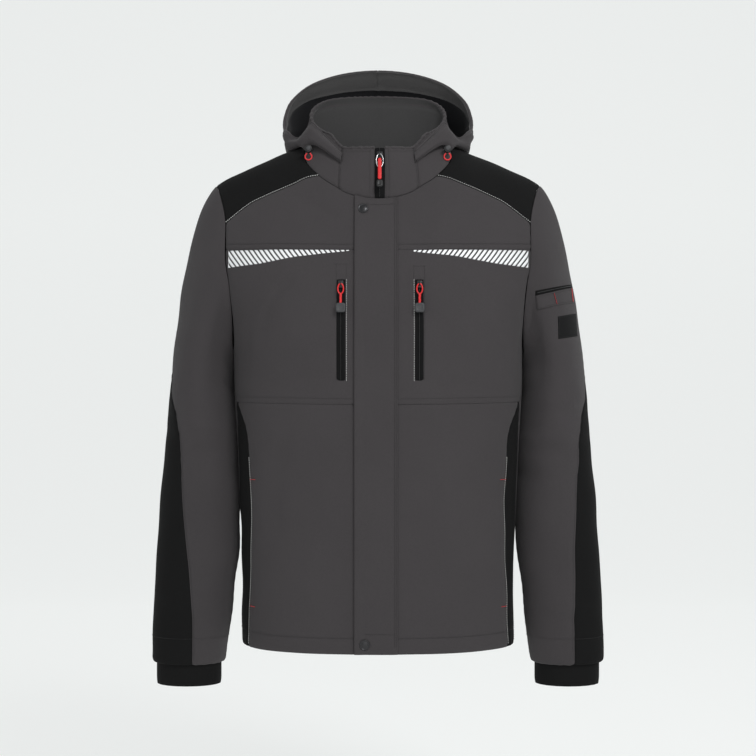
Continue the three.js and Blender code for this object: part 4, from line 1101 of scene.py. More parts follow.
# stitched valleys: edge, distance from it, depth, half width
seamValley = [("bottom", 7.5, 0.5, 1.8)]
hemValley = [("bottom", 23, 0.5, 1.8)]
for sideName, sign in sides.items():
    def both(name):
        return f"{name}_{sideName}"

    makePanel(both("yoke"), yoke(sign), (140, 250), bodyMiddle, *black)
    makePanel(both("front_upper"), frontUpper(sign), (215, 112), bodyMiddle, *grey, valleys=seamValley)
    makePanel(both("front_middle"), frontMiddle(sign), (235, 226), bodyMiddle, *grey, valleys=seamValley)
    makePanel(both("front_lower"), frontLower(sign), (205, 357), bodyMiddle, *grey, valleys=hemValley)
    makePanel(both("side_panel"), sidePanel(sign), (55, 357), bodyMiddle, *black, valleys=hemValley)
    middle = sleeveMiddle(sign)
    sleeveOptions = {"relief": sleeveRelief(sideName), "open": ["top"]}
    makePanel(both("sleeve_front"), sleeveFront(sideName), (190, 720), middle, *grey, **sleeveOptions)
    makePanel(both("sleeve_back"), sleeveBack(sideName), (150, 700), middle, *grey, **sleeveOptions)
    panelOptions = {"relief": sleeveRelief(sideName), "gap": 2 * seamGap}
    makePanel(both("sleeve_panel"), sleevePanel(sideName), (110, 430), middle, *black, **panelOptions)
    makePanel(both("cuff"), cuff(sign), (700, 38), cuffMiddle(sign), *black,
              ring=True, open=["top"], relief=cuffRelief, rowPitch=3)
    makePanel(both("collar_front"), collarFront(sign), (60, 78), collarMiddle, *grey,
              relief=collarRelief, valleys=[("start", 6, 0.25, 1.4), ("bottom", 6, 0.2, 1.4)])
    # the hood's panels lap over each other a little, so that no light shows at its centre seam
    hoodOptions = {"relief": hoodRelief, "gap": -seamGap}
    inside = {**hoodOptions, "lift": -cloth - seamGap}
    makePanel(both("hood"), hoodSurface(sign), (280, 330), hoodMiddle, *grey, **hoodOptions)
    # the facing's lighter finish is painted light for the hood's shaded inside
    makePanel(both("hood_facing"), hoodSurface(sign), (240, 50), hoodMiddle, "facing", "softshell",
              places=((0, liningEnd), (facingFrom, 1)), **inside)
    # the lining reaches up to facingFrom, so its dark band above the collar rim is partly painted shade
    makePanel(both("hood_lining"), hoodSurface(sign), (220, 260), hoodMiddle, "lining", "lining",
              places=((0, liningEnd), (0, facingFrom)), **inside)

makePanel("back", back, (520, 760), bodyMiddle, *grey, valleys=hemValley)
makePanel("collar_outer", collarRound(collarPanelEnd), (470, 80), collarMiddle, *grey,
          relief=collarRelief, valleys=[("bottom", 9, 1.3, 1.8)])
makePanel("collar_inner", collarRound(0), (520, 80), collarMiddle, "innerSoftshell", "inner_softshell",
          relief=collarRelief, lift=-cloth - seamGap, hollows=[("bottom", 9, 1.9, 1.6)])
flapValleys = [("end", 4.5, 0.6, 1.6), ("top", 12, 0.4, 1.5), *hemValley]
makePanel("storm_flap", strip(flapLeftX, flapRightX), (62, 656), bodyMiddle, *grey,
          lift=seamGap + cloth, valleys=flapValleys, roll=1.3, free=[("start", 2.4, 9)])
tape = ("zipTape", "zip_tape")
makePanel("front_zip", strip(zipEdge(-1), zipEdge(1)), (14, 650), bodyMiddle, *tape,
          lift=-seamGap, thick=thinCloth)
makePanel("collar_zip", collarZip, (14, 78), collarMiddle, *tape, relief=plain, lift=-seamGap, thick=thinCloth)
chestZips = {"right": (-58.7, -46.4), "left": (52.6, 64.7)}
chestZipEnds = (-180, -323.8)
for sideName, (x0, x1) in chestZips.items():
    makePanel(f"chest_zip_{sideName}", chestTape(x0, x1), (12, 144), bodyMiddle, *tape,
              lift=seamGap + thinCloth, thick=thinCloth)
print("cloth panels made")

# Every panel rides on the jacket's body
for panelName, panel in panels.items():
    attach(panel["object"], "jacket")


# Stitches, piping and coils: Geometry Nodes lay one small shape after another along lines


def stitchTree(name, turned):
    tree = bpy.data.node_groups.new(name, "GeometryNodeTree")
    tree.is_modifier = True
    face = tree.interface
    face.new_socket("Geometry", in_out="INPUT", socket_type="NodeSocketGeometry")
    for label in ("Pitch", "Long", "Thick", "Wide"):
        face.new_socket(label, in_out="INPUT", socket_type="NodeSocketFloat")
    face.new_socket("Material", in_out="INPUT", socket_type="NodeSocketMaterial")
    face.new_socket("Geometry", in_out="OUTPUT", socket_type="NodeSocketGeometry")
    kinds = {
        "inputs": "NodeGroupInput", "outputs": "NodeGroupOutput", "line": "GeometryNodeMeshToCurve",
        "resample": "GeometryNodeResampleCurve", "ball": "GeometryNodeMeshUVSphere",
        "tangent": "GeometryNodeInputTangent", "align": "FunctionNodeAlignRotationToVector",
        "size": "ShaderNodeCombineXYZ", "place": "GeometryNodeInstanceOnPoints",
        "realize": "GeometryNodeRealizeInstances", "smooth": "GeometryNodeSetShadeSmooth",
        "paint": "GeometryNodeSetMaterial",
    }
    nodes = {key: tree.nodes.new(kind) for key, kind in kinds.items()}
    nodes["resample"].mode = "LENGTH"
    nodes["align"].axis = "Y" if turned else "X"
    for socket, value in (("Segments", 6), ("Rings", 4), ("Radius", 1)):
        nodes["ball"].inputs[socket].default_value = value
    for start, output, end, socket in (
        ("inputs", "Geometry", "line", "Mesh"), ("line", "Curve", "resample", "Curve"),
        ("inputs", "Pitch", "resample", "Length"), ("resample", "Curve", "place", "Points"),
        ("ball", "Mesh", "place", "Instance"), ("tangent", "Tangent", "align", "Vector"),
        ("align", "Rotation", "place", "Rotation"), ("inputs", "Long", "size", "X"),
        ("inputs", "Wide", "size", "Y"), ("inputs", "Thick", "size", "Z"),
        ("size", "Vector", "place", "Scale"), ("place", "Instances", "realize", "Geometry"),
        ("realize", "Geometry", "smooth", "Geometry"), ("smooth", "Geometry", "paint", "Geometry"),
        ("inputs", "Material", "paint", "Material"), ("paint", "Geometry", "outputs", "Geometry"),
    ):
        tree.links.new(nodes[start].outputs[output], nodes[end].inputs[socket])
    return tree


alongTree = stitchTree("stitchRun", False)
acrossTree = stitchTree("coilRun", True)


def plainMesh(made):
    # the object's mesh with its modifiers applied
    graph = bpy.context.evaluated_depsgraph_get()
    result = bpy.data.meshes.new_from_object(made.evaluated_get(graph))
    made.modifiers.clear()
    made.data = result


def stitchRun(name, lines, settings, finish, tree=alongTree):
    # every line is a row of points in mm; settings are sizes in mm
    vertices = np.concatenate(lines) * mm
    edges = []
    first = 0
    for line in lines:
        edges += [(first + i, first + i + 1) for i in range(len(line) - 1)]
        first += len(line)
    mesh = bpy.data.meshes.new(name)
    mesh.from_pydata(vertices.tolist(), edges, [])
    made = bpy.data.objects.new(name, mesh)
    bpy.context.scene.collection.objects.link(made)
    modifier = made.modifiers.new("run", "NODES")
    modifier.node_group = tree
    values = {**{k: v * mm for k, v in settings.items()}, "Material": finishes[finish]}
    for item in tree.interface.items_tree:
        if item.in_out == "INPUT" and item.name in values:
            modifier[item.identifier] = values[item.name]
    plainMesh(made)
    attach(made, "jacket")


def tubeShape(line, radii, up=(0, -1, 0.01), closed=False, sections=8):
    # a round or oval tube along a row of points; radii are sideways and along up
    if closed:
        tangent = unit(np.roll(line, -1, axis=0) - np.roll(line, 1, axis=0))
    else:
        tangent = unit(np.gradient(line, axis=0))
    outward = unit(np.cross(tangent, np.cross(np.broadcast_to(up, line.shape), tangent)))
    sideways = np.cross(tangent, outward)
    angles = 2 * np.pi * np.arange(sections) / sections
    wide, high = (np.broadcast_to(r, len(line))[:, None, None] for r in radii)
    ring = np.cos(angles)[None, :, None] * sideways[:, None] * wide
    ring = ring + np.sin(angles)[None, :, None] * outward[:, None] * high
    grid = line[:, None] + ring
    faces = cappedFaces(len(line), sections)
    if closed:
        first = np.arange(sections)
        last = first + (len(line) - 1) * sections
        faces = faces[:-2] + np.stack([last, np.roll(last, -1), np.roll(first, -1), first], -1).tolist()
    along = np.concatenate([[0], np.cumsum(np.linalg.norm(np.diff(line, axis=0), axis=-1))])
    uv = np.stack(np.broadcast_arrays(along[:, None], angles[None] * np.mean(radii[0])), -1)
    return grid.reshape(-1, 3), faces, uv.reshape(-1, 2)


def joinShapes(name, shapes, finish, slotName, body="jacket"):
    # several closed shapes in one piece
    faces = []
    count = 0
    for vertices, shapeFaces, _ in shapes:
        faces += [[i + count for i in face] for face in shapeFaces]
        count += len(vertices)
    vertices = np.concatenate([shape[0] for shape in shapes])
    uv = np.concatenate([shape[2] for shape in shapes])
    made = makeObject(name, vertices * mm, faces, finishes[finish], uv * mm)
    turnOut(made.data)
    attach(made, body)
    return made


def turnOut(mesh):
    shape = bmesh.new()
    shape.from_mesh(mesh)
    bmesh.ops.recalc_face_normals(shape, faces=shape.faces)
    shape.to_mesh(mesh)
    shape.free()


threads = {
    "top": {"Pitch": 3.2, "Long": 1.3, "Thick": 0.3, "Wide": 0.32},
    "piping": {"Pitch": 3.3, "Long": 1.3, "Thick": 0.5, "Wide": 0.75},
    "fine": {"Pitch": 2.6, "Long": 1.0, "Thick": 0.2, "Wide": 0.2},
    "bar": {"Pitch": 0.55, "Long": 0.3, "Thick": 0.3, "Wide": 1.5},
    "coil": {"Pitch": 1.25, "Long": 0.42, "Thick": 0.55, "Wide": 1.5},
}


def run(start, end, step=3.0):
    return np.linspace(start, end, max(int(abs(end - start) / step), 2) + 1)


# Places of the rows, and their heights over the cloth; u and v are shares of a panel
sewing = {
    "thread": 0.15, "raisedThread": 0.2, "yokePiping": 0.45, "piping": 0.5, "bar": 0.35,
    "besideFlap": 1.5,
    "chestRow": (7.5, 221.5),    # above its seam, and the end in x
    "waistRow": (8, 203), "waistHalfX": 210,
    "hemZ": -689, "hemSteps": 160,
    "sidePanelDegrees": (67, 83),
    "pocketZ": (-436, -706), "pocketU": 0.996, "sidePanelU": 0.9,
    "yokeV": (0.004, 0.996),
    # past the zip at each side, and the top in z
    "garage": {"right": (0.6, 1.2, -158), "left": (1.6, 1.6, -161)},
    "zipPipingX": {"right": -44.6, "left": 51.2}, "zipZ": (-181, -323),
    "bars": ((-467, 62), (-652, 66)), "barFromEdge": (9, 1.5),    # z, degrees round the body
    "collarU": (0.13, 0.95), "collarV": 0.92,
    "hoodU": 0.012, "hoodV": 0.9,
    "sleeveZ": (-335, -730), "besidePanel": 2.8, "sleeveEndZ": -701,
    "flapU": (0.925, 0.975), "flapV": (0.0225, 0.9655),
}
greyLines = []
blackLines = []
pipingLines = []
redBars = []


def rowAcross(name, start, end, count, v, height):
    u = np.linspace(start, end, count)
    return raised(name, u, np.full_like(u, v), height)


def rowAlong(name, u, start, end, count, height):
    v = np.linspace(start, end, count)
    return raised(name, np.full_like(v, u), v, height)


def sleeveRow(name, degrees, z):
    p = sleeveAt(name, degrees, z)
    angle = np.radians(degrees)
    out = mirrored(sides[name], points(np.cos(angle), -np.sin(angle), 0))
    return p + out * (sleeveRelief(name)(p) + sewing["raisedThread"])[:, None]


for sideName, sign in sides.items():
    inner = (-flapLeftX if sign < 0 else flapRightX) + sewing["besideFlap"]
    # above the chest seam and the waist seam
    above, endX = sewing["chestRow"]
    x = run(inner, endX)
    share = frontShare(sign, np.interp(x, [sign * zipEdge(sign), yokeNeckX, chestEndX], [0, innerPart, 1]))
    greyLines.append(onBody(sign * x, mix(chestSeamZ, chestLevels[0], share) + above, sewing["thread"]))
    above, endX = sewing["waistRow"]
    x = run(inner, endX)
    z = waistSeamZ + waistSag * (1 - x / sewing["waistHalfX"]) + above
    greyLines.append(onBody(sign * x, z, sewing["thread"]))
    # round the hem, from the flap to the centre of the back
    degrees = np.linspace(degreesAt(inner, sewing["hemZ"]), 180, sewing["hemSteps"])
    p = mirrored(sign, bodyAround(degrees, np.full_like(degrees, sewing["hemZ"])))
    out = unit(p * np.array([1, 1, 0]))
    hem = p + out * (bodyRelief(p) + sewing["thread"])[:, None]
    edge, behind = (int(np.searchsorted(degrees, stop)) for stop in sewing["sidePanelDegrees"])
    greyLines += [hem[:edge], hem[behind:]]
    blackLines.append(hem[edge:behind])
    # light piping on the yoke's edges, front and back
    for v in sewing["yokeV"]:
        pipingLines.append(rowAcross(f"yoke_{sideName}", 0.01, 0.99, 60, v, sewing["yokePiping"]))
    # light piping down the pocket edge, and a dark row beside it on the side panel
    z = run(*sewing["pocketZ"])
    v = np.interp(-z, -np.array(lowerLevels), np.linspace(0, 1, len(lowerLevels)))
    pocketU = np.full_like(z, sewing["pocketU"])
    pipingLines.append(raised(f"front_lower_{sideName}", pocketU, v, sewing["piping"]))
    sidePanelU = np.full_like(z, sewing["sidePanelU"])
    blackLines.append(raised(f"side_panel_{sideName}", sidePanelU, v, sewing["thread"]))
    # chest pockets: stitched garage over the zip, piping on one side of it and a dark row on the other
    x0, x1 = chestZips[sideName]
    past0, past1, top = sewing["garage"][sideName]
    x0, x1 = x0 - past0, x1 + past1
    garage = [(x0, chestZipEnds[0]), (x0, top), (x1, top), (x1, chestZipEnds[0])]
    steps = np.linspace(0, 1, 8)
    for (ax, az), (bx, bz) in zip(garage[:-1], garage[1:]):
        greyLines.append(onBody(mix(ax, bx, steps), mix(az, bz, steps), sewing["thread"]))
    z = run(*sewing["zipZ"])
    pipingLines.append(onBody(np.full_like(z, sewing["zipPipingX"][sideName]), z, sewing["piping"]))
    outside = x0 + 0.2 if sign < 0 else x1 - 0.2
    blackLines.append(onBody(np.full_like(z, outside), z, sewing["thread"]))
    # red bars at both ends of the hand pocket
    for z, around in sewing["bars"]:
        edge = half(z) * math.sin(math.radians(around)) ** (2 / bodyRoundness)
        x = run(edge - sewing["barFromEdge"][0], edge - sewing["barFromEdge"][1], 1)
        redBars.append(onBody(sign * x, np.full_like(x, z), sewing["bar"]))
    # collar: beside the neck zip, at the overlay's edge and along the rim
    front = f"collar_front_{sideName}"
    for u in sewing["collarU"]:
        greyLines.append(rowAlong(front, u, 0.02, 0.95, 30, sewing["thread"]))
    greyLines.append(rowAcross(front, 0.14, 0.94, 30, sewing["collarV"], sewing["thread"]))
    # hood: both sides of the centre seam, and the casing of the rim
    greyLines.append(rowAlong(f"hood_{sideName}", sewing["hoodU"], 0.04, 0.97, 90, sewing["thread"]))
    greyLines.append(rowAcross(f"hood_{sideName}", 0.02, 0.95, 90, sewing["hoodV"], sewing["thread"]))
    # sleeves: beside the black panel, and round the turned end
    z = run(*sewing["sleeveZ"])
    panelRows = sleevePanelRows[sideName]
    for which, away in (("front", sewing["besidePanel"]), ("back", -sewing["besidePanel"])):
        greyLines.append(sleeveRow(sideName, column(panelRows, "z", which, z) + away, z))
    degrees = np.linspace(0, 360, 120)
    ring = sleeveRow(sideName, degrees, np.full_like(degrees, sewing["sleeveEndZ"]))
    first, last = (column(panelRows, "z", which, sewing["sleeveEndZ"]) for which in ("front", "back"))
    greyLines.append(ring[(degrees >= first) & (degrees <= 360 + last)])
    blackLines += [ring[degrees < first], ring[degrees > 360 + last]]

# storm flap: beside its seam, across its top and hem
for u in sewing["flapU"]:
    greyLines.append(rowAlong("storm_flap", u, 0.004, 0.985, 200, sewing["raisedThread"]))
for v in sewing["flapV"]:
    greyLines.append(rowAcross("storm_flap", 0.03, 0.92, 20, v, sewing["raisedThread"]))

stitchRun("greyStitches", greyLines, threads["top"], "greyThread")
stitchRun("blackStitches", blackLines, threads["top"], "blackThread")
stitchRun("lightPiping", pipingLines, threads["piping"], "piping")
print("stitches laid")

# Zip coils, and the rolled rims of collar and hood
coilStarts = {"chest_zip_right": 0.1, "chest_zip_left": 0.1, "collar_zip": 0.03}
coilLines = [rowAlong(name, 0.5, start, 0.985, 90, 0.3) for name, start in coilStarts.items()]
stitchRun("zipCoils", coilLines, threads["coil"], "coil", tree=acrossTree)
rims = {
    "hood": {"gather": 0.04, "wide": 1.3, "over": 0.2, "liningFade": 0.04},
    "collar": {"gather": 0.2, "wide": 2.5, "over": 0.8},
}


def rimShape(surface, sign, us, offset, radii, gather):
    # a rolled rim on a surface's last line, gathered in uneven waves
    v = np.full_like(us, 0.9985)
    normal = square(surface, us, v - 0.004, sign)
    line = surface(us, np.ones_like(us)) + normal * np.asarray(offset)[..., None]
    place = np.concatenate([[0], np.cumsum(np.linalg.norm(np.diff(line, axis=0), axis=-1))])
    wave = np.sin(place * 0.62 + 1.7 * np.sin(place * 0.09))
    gathered = 1 + gather * wave * (0.7 + 0.3 * np.sin(place * 0.05))
    return tubeShape(line, [radius * gathered for radius in radii], up=normal, sections=10)


wallPair = 2 * cloth + seamGap
rim = rims["hood"]
for sideName, sign in sides.items():
    us = np.linspace(0.001, 0.995, 240)
    # where the lining ends, the rim narrows to one cloth
    single = np.clip((us - liningEnd) / rim["liningFade"], 0, 1)
    offset = mix(-wallPair / 2, -cloth / 2, single)
    radii = (np.full_like(us, rim["wide"]), mix(wallPair / 2 + rim["over"], cloth / 2 + rim["over"], single))
    hoodSign = panels[f"hood_{sideName}"]["sign"]
    shape = rimShape(hoodSurface(sign), hoodSign, us, offset, radii, rim["gather"])
    joinShapes(f"hoodRim_{sideName}", [shape], *grey)
rim = rims["collar"]
us = np.linspace(0.002, 0.998, 360)
radii = (np.full_like(us, rim["wide"]), np.full_like(us, wallPair / 2 + rim["over"]))
collarSign = panels["collar_inner"]["sign"]
shape = rimShape(collarRound(0), collarSign, us, np.full_like(us, -wallPair / 2), radii, rim["gather"])
joinShapes("collarRim", [shape], *grey)
print("rims and coils made")


# Things laid on the cloth: grids of points dropped on a panel from the front

def surfaceTree(name):
    mesh = panels[name]["object"].data
    vertices = [v.co.copy() for v in mesh.vertices]
    return BVHTree.FromPolygons(vertices, [tuple(f.vertices) for f in mesh.polygons])


def dropped(tree, x, z, lift):
    # places in mm seen from the front, moved back until they meet the panel
    grid = np.empty((*x.shape, 3))
    for at in np.ndindex(x.shape):
        reach = x[at]
        hit = None
        while hit is None:
            hit, normal, _, _ = tree.ray_cast(Vector((reach * mm, -0.4, z[at] * mm)), Vector((0, 1, 0)))
            reach -= math.copysign(0.5, reach)
        grid[at] = np.array(hit) / mm + np.array(normal) * lift
    return grid


def laidShape(outer, inner):
    uv = np.stack(arcLengths(outer), -1).reshape(-1, 2)
    vertices = np.concatenate([outer.reshape(-1, 3), inner.reshape(-1, 3)])
    return vertices, closedFaces(*outer.shape[:2]).tolist(), np.concatenate([uv, uv])


leftSleeveTree = surfaceTree("sleeve_front_left")
sleeveTrim = {
    # top and bottom edges in mm, x and z seen from the front
    "pocket_opening": {
        "top": [(229.4, -193), (257, -187.5), (290.8, -180.2)],
        "bottom": [(229.2, -200), (257, -193.5), (291.4, -185)],
        "finish": black, "lift": 0.9,
    },
    "pocket_patch": {
        "top": [(229.4, -200.4), (257, -193.9), (291.6, -185.4)],
        "bottom": [(232.2, -221.2), (258.4, -214.6), (292.2, -208.5)],
        "finish": grey, "lift": 1.3,
    },
    "sleeve_label": {
        "top": [(262.3, -230.5), (278, -227.5), (293.4, -224.6)],
        "bottom": [(262.9, -263.1), (279, -260.8), (294.4, -258.3)],
        "finish": ("label", "label"), "lift": 0.9,
    },
}


def trimPoint(trim, u, v, lift):
    def edgeAt(edge, axis):
        return np.interp(u, (0, 0.45, 1), [p[axis] for p in trim[edge]])

    x, z = (mix(edgeAt("top", axis), edgeAt("bottom", axis), v) for axis in (0, 1))
    return dropped(leftSleeveTree, x, z, lift)


for trimName, trim in sleeveTrim.items():
    u, v = np.meshgrid(np.linspace(0, 1, 25), np.linspace(0, 1, 11))
    edge = np.minimum(np.minimum(u, 1 - u) * 60, np.minimum(v, 1 - v) * 25)
    roll = 0.5 * np.exp(-((edge / 1.2) ** 2))
    outer = trimPoint(trim, u, v, 0) + points(0 * u, -(trim["lift"] - roll), 0 * u)
    inner = outer + points(0 * u, trim["lift"] * 0.8 + 0 * u, 0 * u)
    made = joinShapes(trimName + "_cloth", [laidShape(outer, inner)], *trim["finish"])
    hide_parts(trimName)

# a row inside the top and bottom of the patch, all round the label, and a coil in the opening
t = np.linspace(0.03, 0.97, 14)
same = np.ones_like(t)
patch, label, opening = (sleeveTrim[name] for name in ("pocket_patch", "sleeve_label", "pocket_opening"))
trimLines = [trimPoint(patch, t, same * 0.12, 1.5), trimPoint(patch, t, same * 0.88, 1.5)]
stitchRun("pocketStitches", trimLines, threads["fine"], "greyThread")
border = [
    trimPoint(label, t, same * 0.05, 1.05), trimPoint(label, t, same * 0.95, 1.05),
    trimPoint(label, same * 0.05, t, 1.05), trimPoint(label, same * 0.95, t, 1.05),
]
stitchRun("labelStitches", border, threads["fine"], "greyThread")
openingLine = trimPoint(opening, np.linspace(0.06, 0.95, 30), np.full(30, 0.5), 0.9)
stitchRun("pocketCoil", [openingLine], threads["coil"], "coil", tree=acrossTree)
t = np.linspace(0, 1, 14)
for (ax, az), (bx, bz) in (((256.2, -196.5), (260.4, -212)), ((286.2, -187.5), (287, -207.5))):
    redBars.append(dropped(leftSleeveTree, mix(ax, bx, t), mix(az, bz, t), 1.7))
stitchRun("redBars", redBars, threads["bar"], "redThread")
print("sleeve pocket, label and bars made")

# Reflective stripe under each chest seam, a wedge cut in slanted segments
stripe = {
    "top": ((41.2, -137.8), (218.3, -134.7)),
    "bottom": ((41.2, -138.8), (115.2, -146.1), (170.6, -155.5), (218.3, -159.7)),
    "innerEnd": {"right": 41.2, "left": 50.8},
    "pitch": 7.25, "share": 0.64, "slant": 37, "thick": 0.25,
}


def stripeEdge(edge, x):
    return np.interp(x, [p[0] for p in stripe[edge]], [p[1] for p in stripe[edge]])


def stripeShapes(sign, near):
    # slanted segments, cut off at the wedge's edges
    far = stripe["top"][-1][0]
    count = round((far - near) / stripe["pitch"])
    pitchX = (far - near) / count
    slant = math.tan(math.radians(stripe["slant"]))
    rows = np.linspace(0, 1, 7)
    shapes = []
    for k in range(count + 3):
        columnsX = []
        for start in np.linspace(near + k * pitchX, near + (k + stripe["share"]) * pitchX, 4):
            bottomX = start
            for _ in range(6):  # the slanted line's foot, found step by step on the lower edge
                bottomX = start - slant * (stripeEdge("top", start) - stripeEdge("bottom", bottomX))
            x = np.clip(mix(start, bottomX, rows), near, far)
            top, bottom = stripeEdge("top", x), stripeEdge("bottom", x)
            columnsX.append((x, mix(top, bottom, rows)))
        x = np.array([c[0] for c in columnsX]).T
        z = np.array([c[1] for c in columnsX]).T
        if np.ptp(x[0]) < 0.4 and np.ptp(x[-1]) < 0.4:
            continue
        outer = onBody(sign * x, z, stripe["thick"])
        inner = onBody(sign * x, z, 0.02)
        shapes.append(laidShape(outer, inner))
    return shapes


for sideName, sign in sides.items():
    shapes = stripeShapes(sign, stripe["innerEnd"][sideName])
    joinShapes(f"reflectiveStripe_{sideName}", shapes, "reflective", "softshell")
print("reflective stripes made")


# Hard pieces, in the frame of the hinge that each hangs from

def hingeFrame(surface, u, v, sign):
    at = np.array([u]), np.array([v])
    out = square(surface, *at, sign)[0]
    normal = unit(np.array([0, out[1], out[2]]))
    sideways = np.array([1.0, 0, 0])
    return np.array([sideways, np.cross(normal, sideways), normal])


def framed(origin, frame, local):
    return origin + np.asarray(local, float) @ frame


def softened(node, finish, width, segments=3):
    # the node's own solid with its edges rounded, in its place
    shape = bmesh.new()
    shape.from_mesh(frame["nodes"][node].data)
    bmesh.ops.remove_doubles(shape, verts=shape.verts, dist=1e-6)
    bmesh.ops.dissolve_limit(shape, angle_limit=math.radians(4), verts=shape.verts, edges=shape.edges)
    vertices = [v.co[:] for v in shape.verts]
    faces = [[v.index for v in f.verts] for f in shape.faces]
    shape.free()
    made = makeObject(node + "_soft", vertices, faces, finishes[finish])
    bevel = made.modifiers.new("edge", "BEVEL")
    bevel.width = width * mm
    bevel.segments = segments
    bevel.limit_method = "ANGLE"
    bevel.angle_limit = math.radians(38)
    plainMesh(made)
    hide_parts(node)
    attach(made, "jacket")


def ovalLine(halfWidth, halfHeight, count=40):
    angles = 2 * np.pi * np.arange(count) / count
    return points(halfWidth * np.cos(angles), halfHeight * (np.sin(angles) - 1), 0)


def roundedSlab(origin, axes, size, place, dish=0.0):
    # a moulded tab: a rounded outline that domes on both faces, with a shallow dish in front
    width, height, depth, corner = size
    up, out = place
    sections = 48
    angles = np.linspace(0, 2 * np.pi, sections, endpoint=False)
    around = np.stack([np.cos(angles), np.sin(angles)], -1)
    outline = np.sign(around) * (width / 2 - corner, height / 2 - corner) + corner * around
    rows = []
    soft = min(corner, depth / 2) * 0.9
    for t in np.linspace(0, 1, 14):
        turn = np.pi * (t - 0.5)
        shrink = soft * (1 - math.cos(turn))
        scale = 1 - shrink / np.array([width / 2, height / 2])
        z = depth / 2 * math.sin(turn)
        rows.append(np.concatenate([outline * scale, np.full((sections, 1), z)], -1))
    for inset, sink in ((0.78, 0.0), (0.7, dish * 0.6), (0.62, dish), (0.3, dish), (0.02, dish)):
        scale = (1 - soft / np.array([width / 2, height / 2])) * inset
        rows.append(np.concatenate([outline * scale, np.full((sections, 1), depth / 2 - sink)], -1))
    local = np.stack(rows) + np.array([0, up, out + depth / 2])
    grid = framed(origin, axes, local)
    return grid.reshape(-1, 3), cappedFaces(len(rows), sections), local.reshape(-1, 3)[:, :2]


# Loops are half sizes; tabs are width, height, depth and corner, then place along and out from the hinge
hang = {
    "hingeHeight": 1.5, "sliderThick": 2, "chestSliderZ": -187, "wire": 0.8,
    "chestLoop": (4, 7.2), "chestTab": ((14.5, 14, 4, 4), (-34.3, -2)), "chestCord": (-13.6, -28.2),
    "neckLoop": (5, 10.5), "neckStrap": ((5.4, 34, 2.6, 2.4), (-24.6, 1.15)),
    "neckTab": ((9.5, 11.4, 4, 3), (-47.6, -0.6)), "neckPart": 0.84,
}


def hingeAt(surface, part, sign, under):
    # the middle of a pull's hinge on its slider, and the directions that the pull hangs in
    at = np.array([0.5]), np.array([part])
    out = square(surface, *at, sign)[0]
    seat = surface(*at)[0] + out * under
    return seat + out * (hang["sliderThick"] + hang["hingeHeight"]), hingeFrame(surface, 0.5, part, sign)


def hungPiece(node, ending, shapes, finish, slotName, body):
    made = joinShapes(f"{node}_{ending}", shapes, finish, slotName, body)
    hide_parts(node)


for sideName, (x0, x1) in chestZips.items():
    part = (hang["chestSliderZ"] - chestZipEnds[0]) / (chestZipEnds[1] - chestZipEnds[0])
    sign = panels[f"chest_zip_{sideName}"]["sign"]
    hinge, axes = hingeAt(chestTape(x0, x1), part, sign, 2 * seamGap + thinCloth)
    body = f"{sideName}_chest_pull"
    loop = framed(hinge, axes, ovalLine(*hang["chestLoop"]))
    shapes = [tubeShape(loop, (1.0, hang["wire"]), up=axes[2], closed=True, sections=10)]
    z = np.linspace(*hang["chestCord"], 16)
    cordLine = framed(hinge, axes, points(0.12 * np.sin(z), z, 0))
    shapes.append(tubeShape(cordLine, (1.75 + 0.12 * np.sin(z * 4), 1.45), up=axes[2], sections=12))
    hungPiece(f"chest_pull_{sideName}", "cord", shapes, "redRubber", "red_puller", body)
    tab = roundedSlab(hinge, axes, *hang["chestTab"], dish=0.45)
    hungPiece(f"chest_tab_{sideName}", "rubber", [tab], "greyRubber", "grey_rubber", body)
    softened(f"chest_slider_{sideName}", "enamel", 0.45)

hinge, axes = hingeAt(collarZip, hang["neckPart"], panels["collar_zip"]["sign"], seamGap)
loop = framed(hinge, axes, ovalLine(*hang["neckLoop"]))
ringShape = tubeShape(loop, (hang["wire"], hang["wire"]), up=axes[2], closed=True, sections=12)
hungPiece("neck_bail", "wire", [ringShape], "steel", "wire", "neck_pull")
strap = roundedSlab(hinge, axes, *hang["neckStrap"])
hungPiece("neck_strap", "red", [strap], "redRubber", "red_puller", "neck_pull")
tab = roundedSlab(hinge, axes, *hang["neckTab"], dish=0.35)
hungPiece("neck_tab", "rubber", [tab], "blackRubber", "black_rubber", "neck_pull")
softened("neck_slider", "enamel", 0.45)

# Press studs: a rolled ring round a shallow dome
snapSides = 40
snapPlaces = {"top": (-21.4, 0.0385), "bottom": (-18.8, 0.983)}  # x, and v down the flap
snapProfile = [
    (0.0, 0.0), (7.2, 0.0), (7.45, 0.25), (7.5, 0.7), (7.35, 1.15), (6.9, 1.42), (6.3, 1.42), (5.8, 1.15),
    (5.45, 0.95), (5.0, 0.98), (4.4, 1.18), (3.2, 1.42), (1.6, 1.58), (0.05, 1.62),
]
flapSurface = strip(flapLeftX, flapRightX)
flapSign = panels["storm_flap"]["sign"]
for snapName, (snapX, snapV) in snapPlaces.items():
    at = np.array([(snapX - flapLeftX) / (flapRightX - flapLeftX)]), np.array([snapV])
    out = square(flapSurface, *at, flapSign)[0]
    seat = flapSurface(*at)[0] + out * (2 * seamGap + cloth)
    axes = hingeFrame(flapSurface, at[0][0], at[1][0], flapSign)
    angles = np.linspace(0, 2 * np.pi, snapSides, endpoint=False)
    rows = [points(r * np.cos(angles), r * np.sin(angles), h) for r, h in snapProfile]
    grid = framed(seat, axes, np.stack(rows)).reshape(-1, 3)
    shape = (grid, cappedFaces(len(rows), snapSides), grid[:, ::2])
    hungPiece(f"snap_{snapName}", "cap", [shape], "gunmetal", "snap", "jacket")

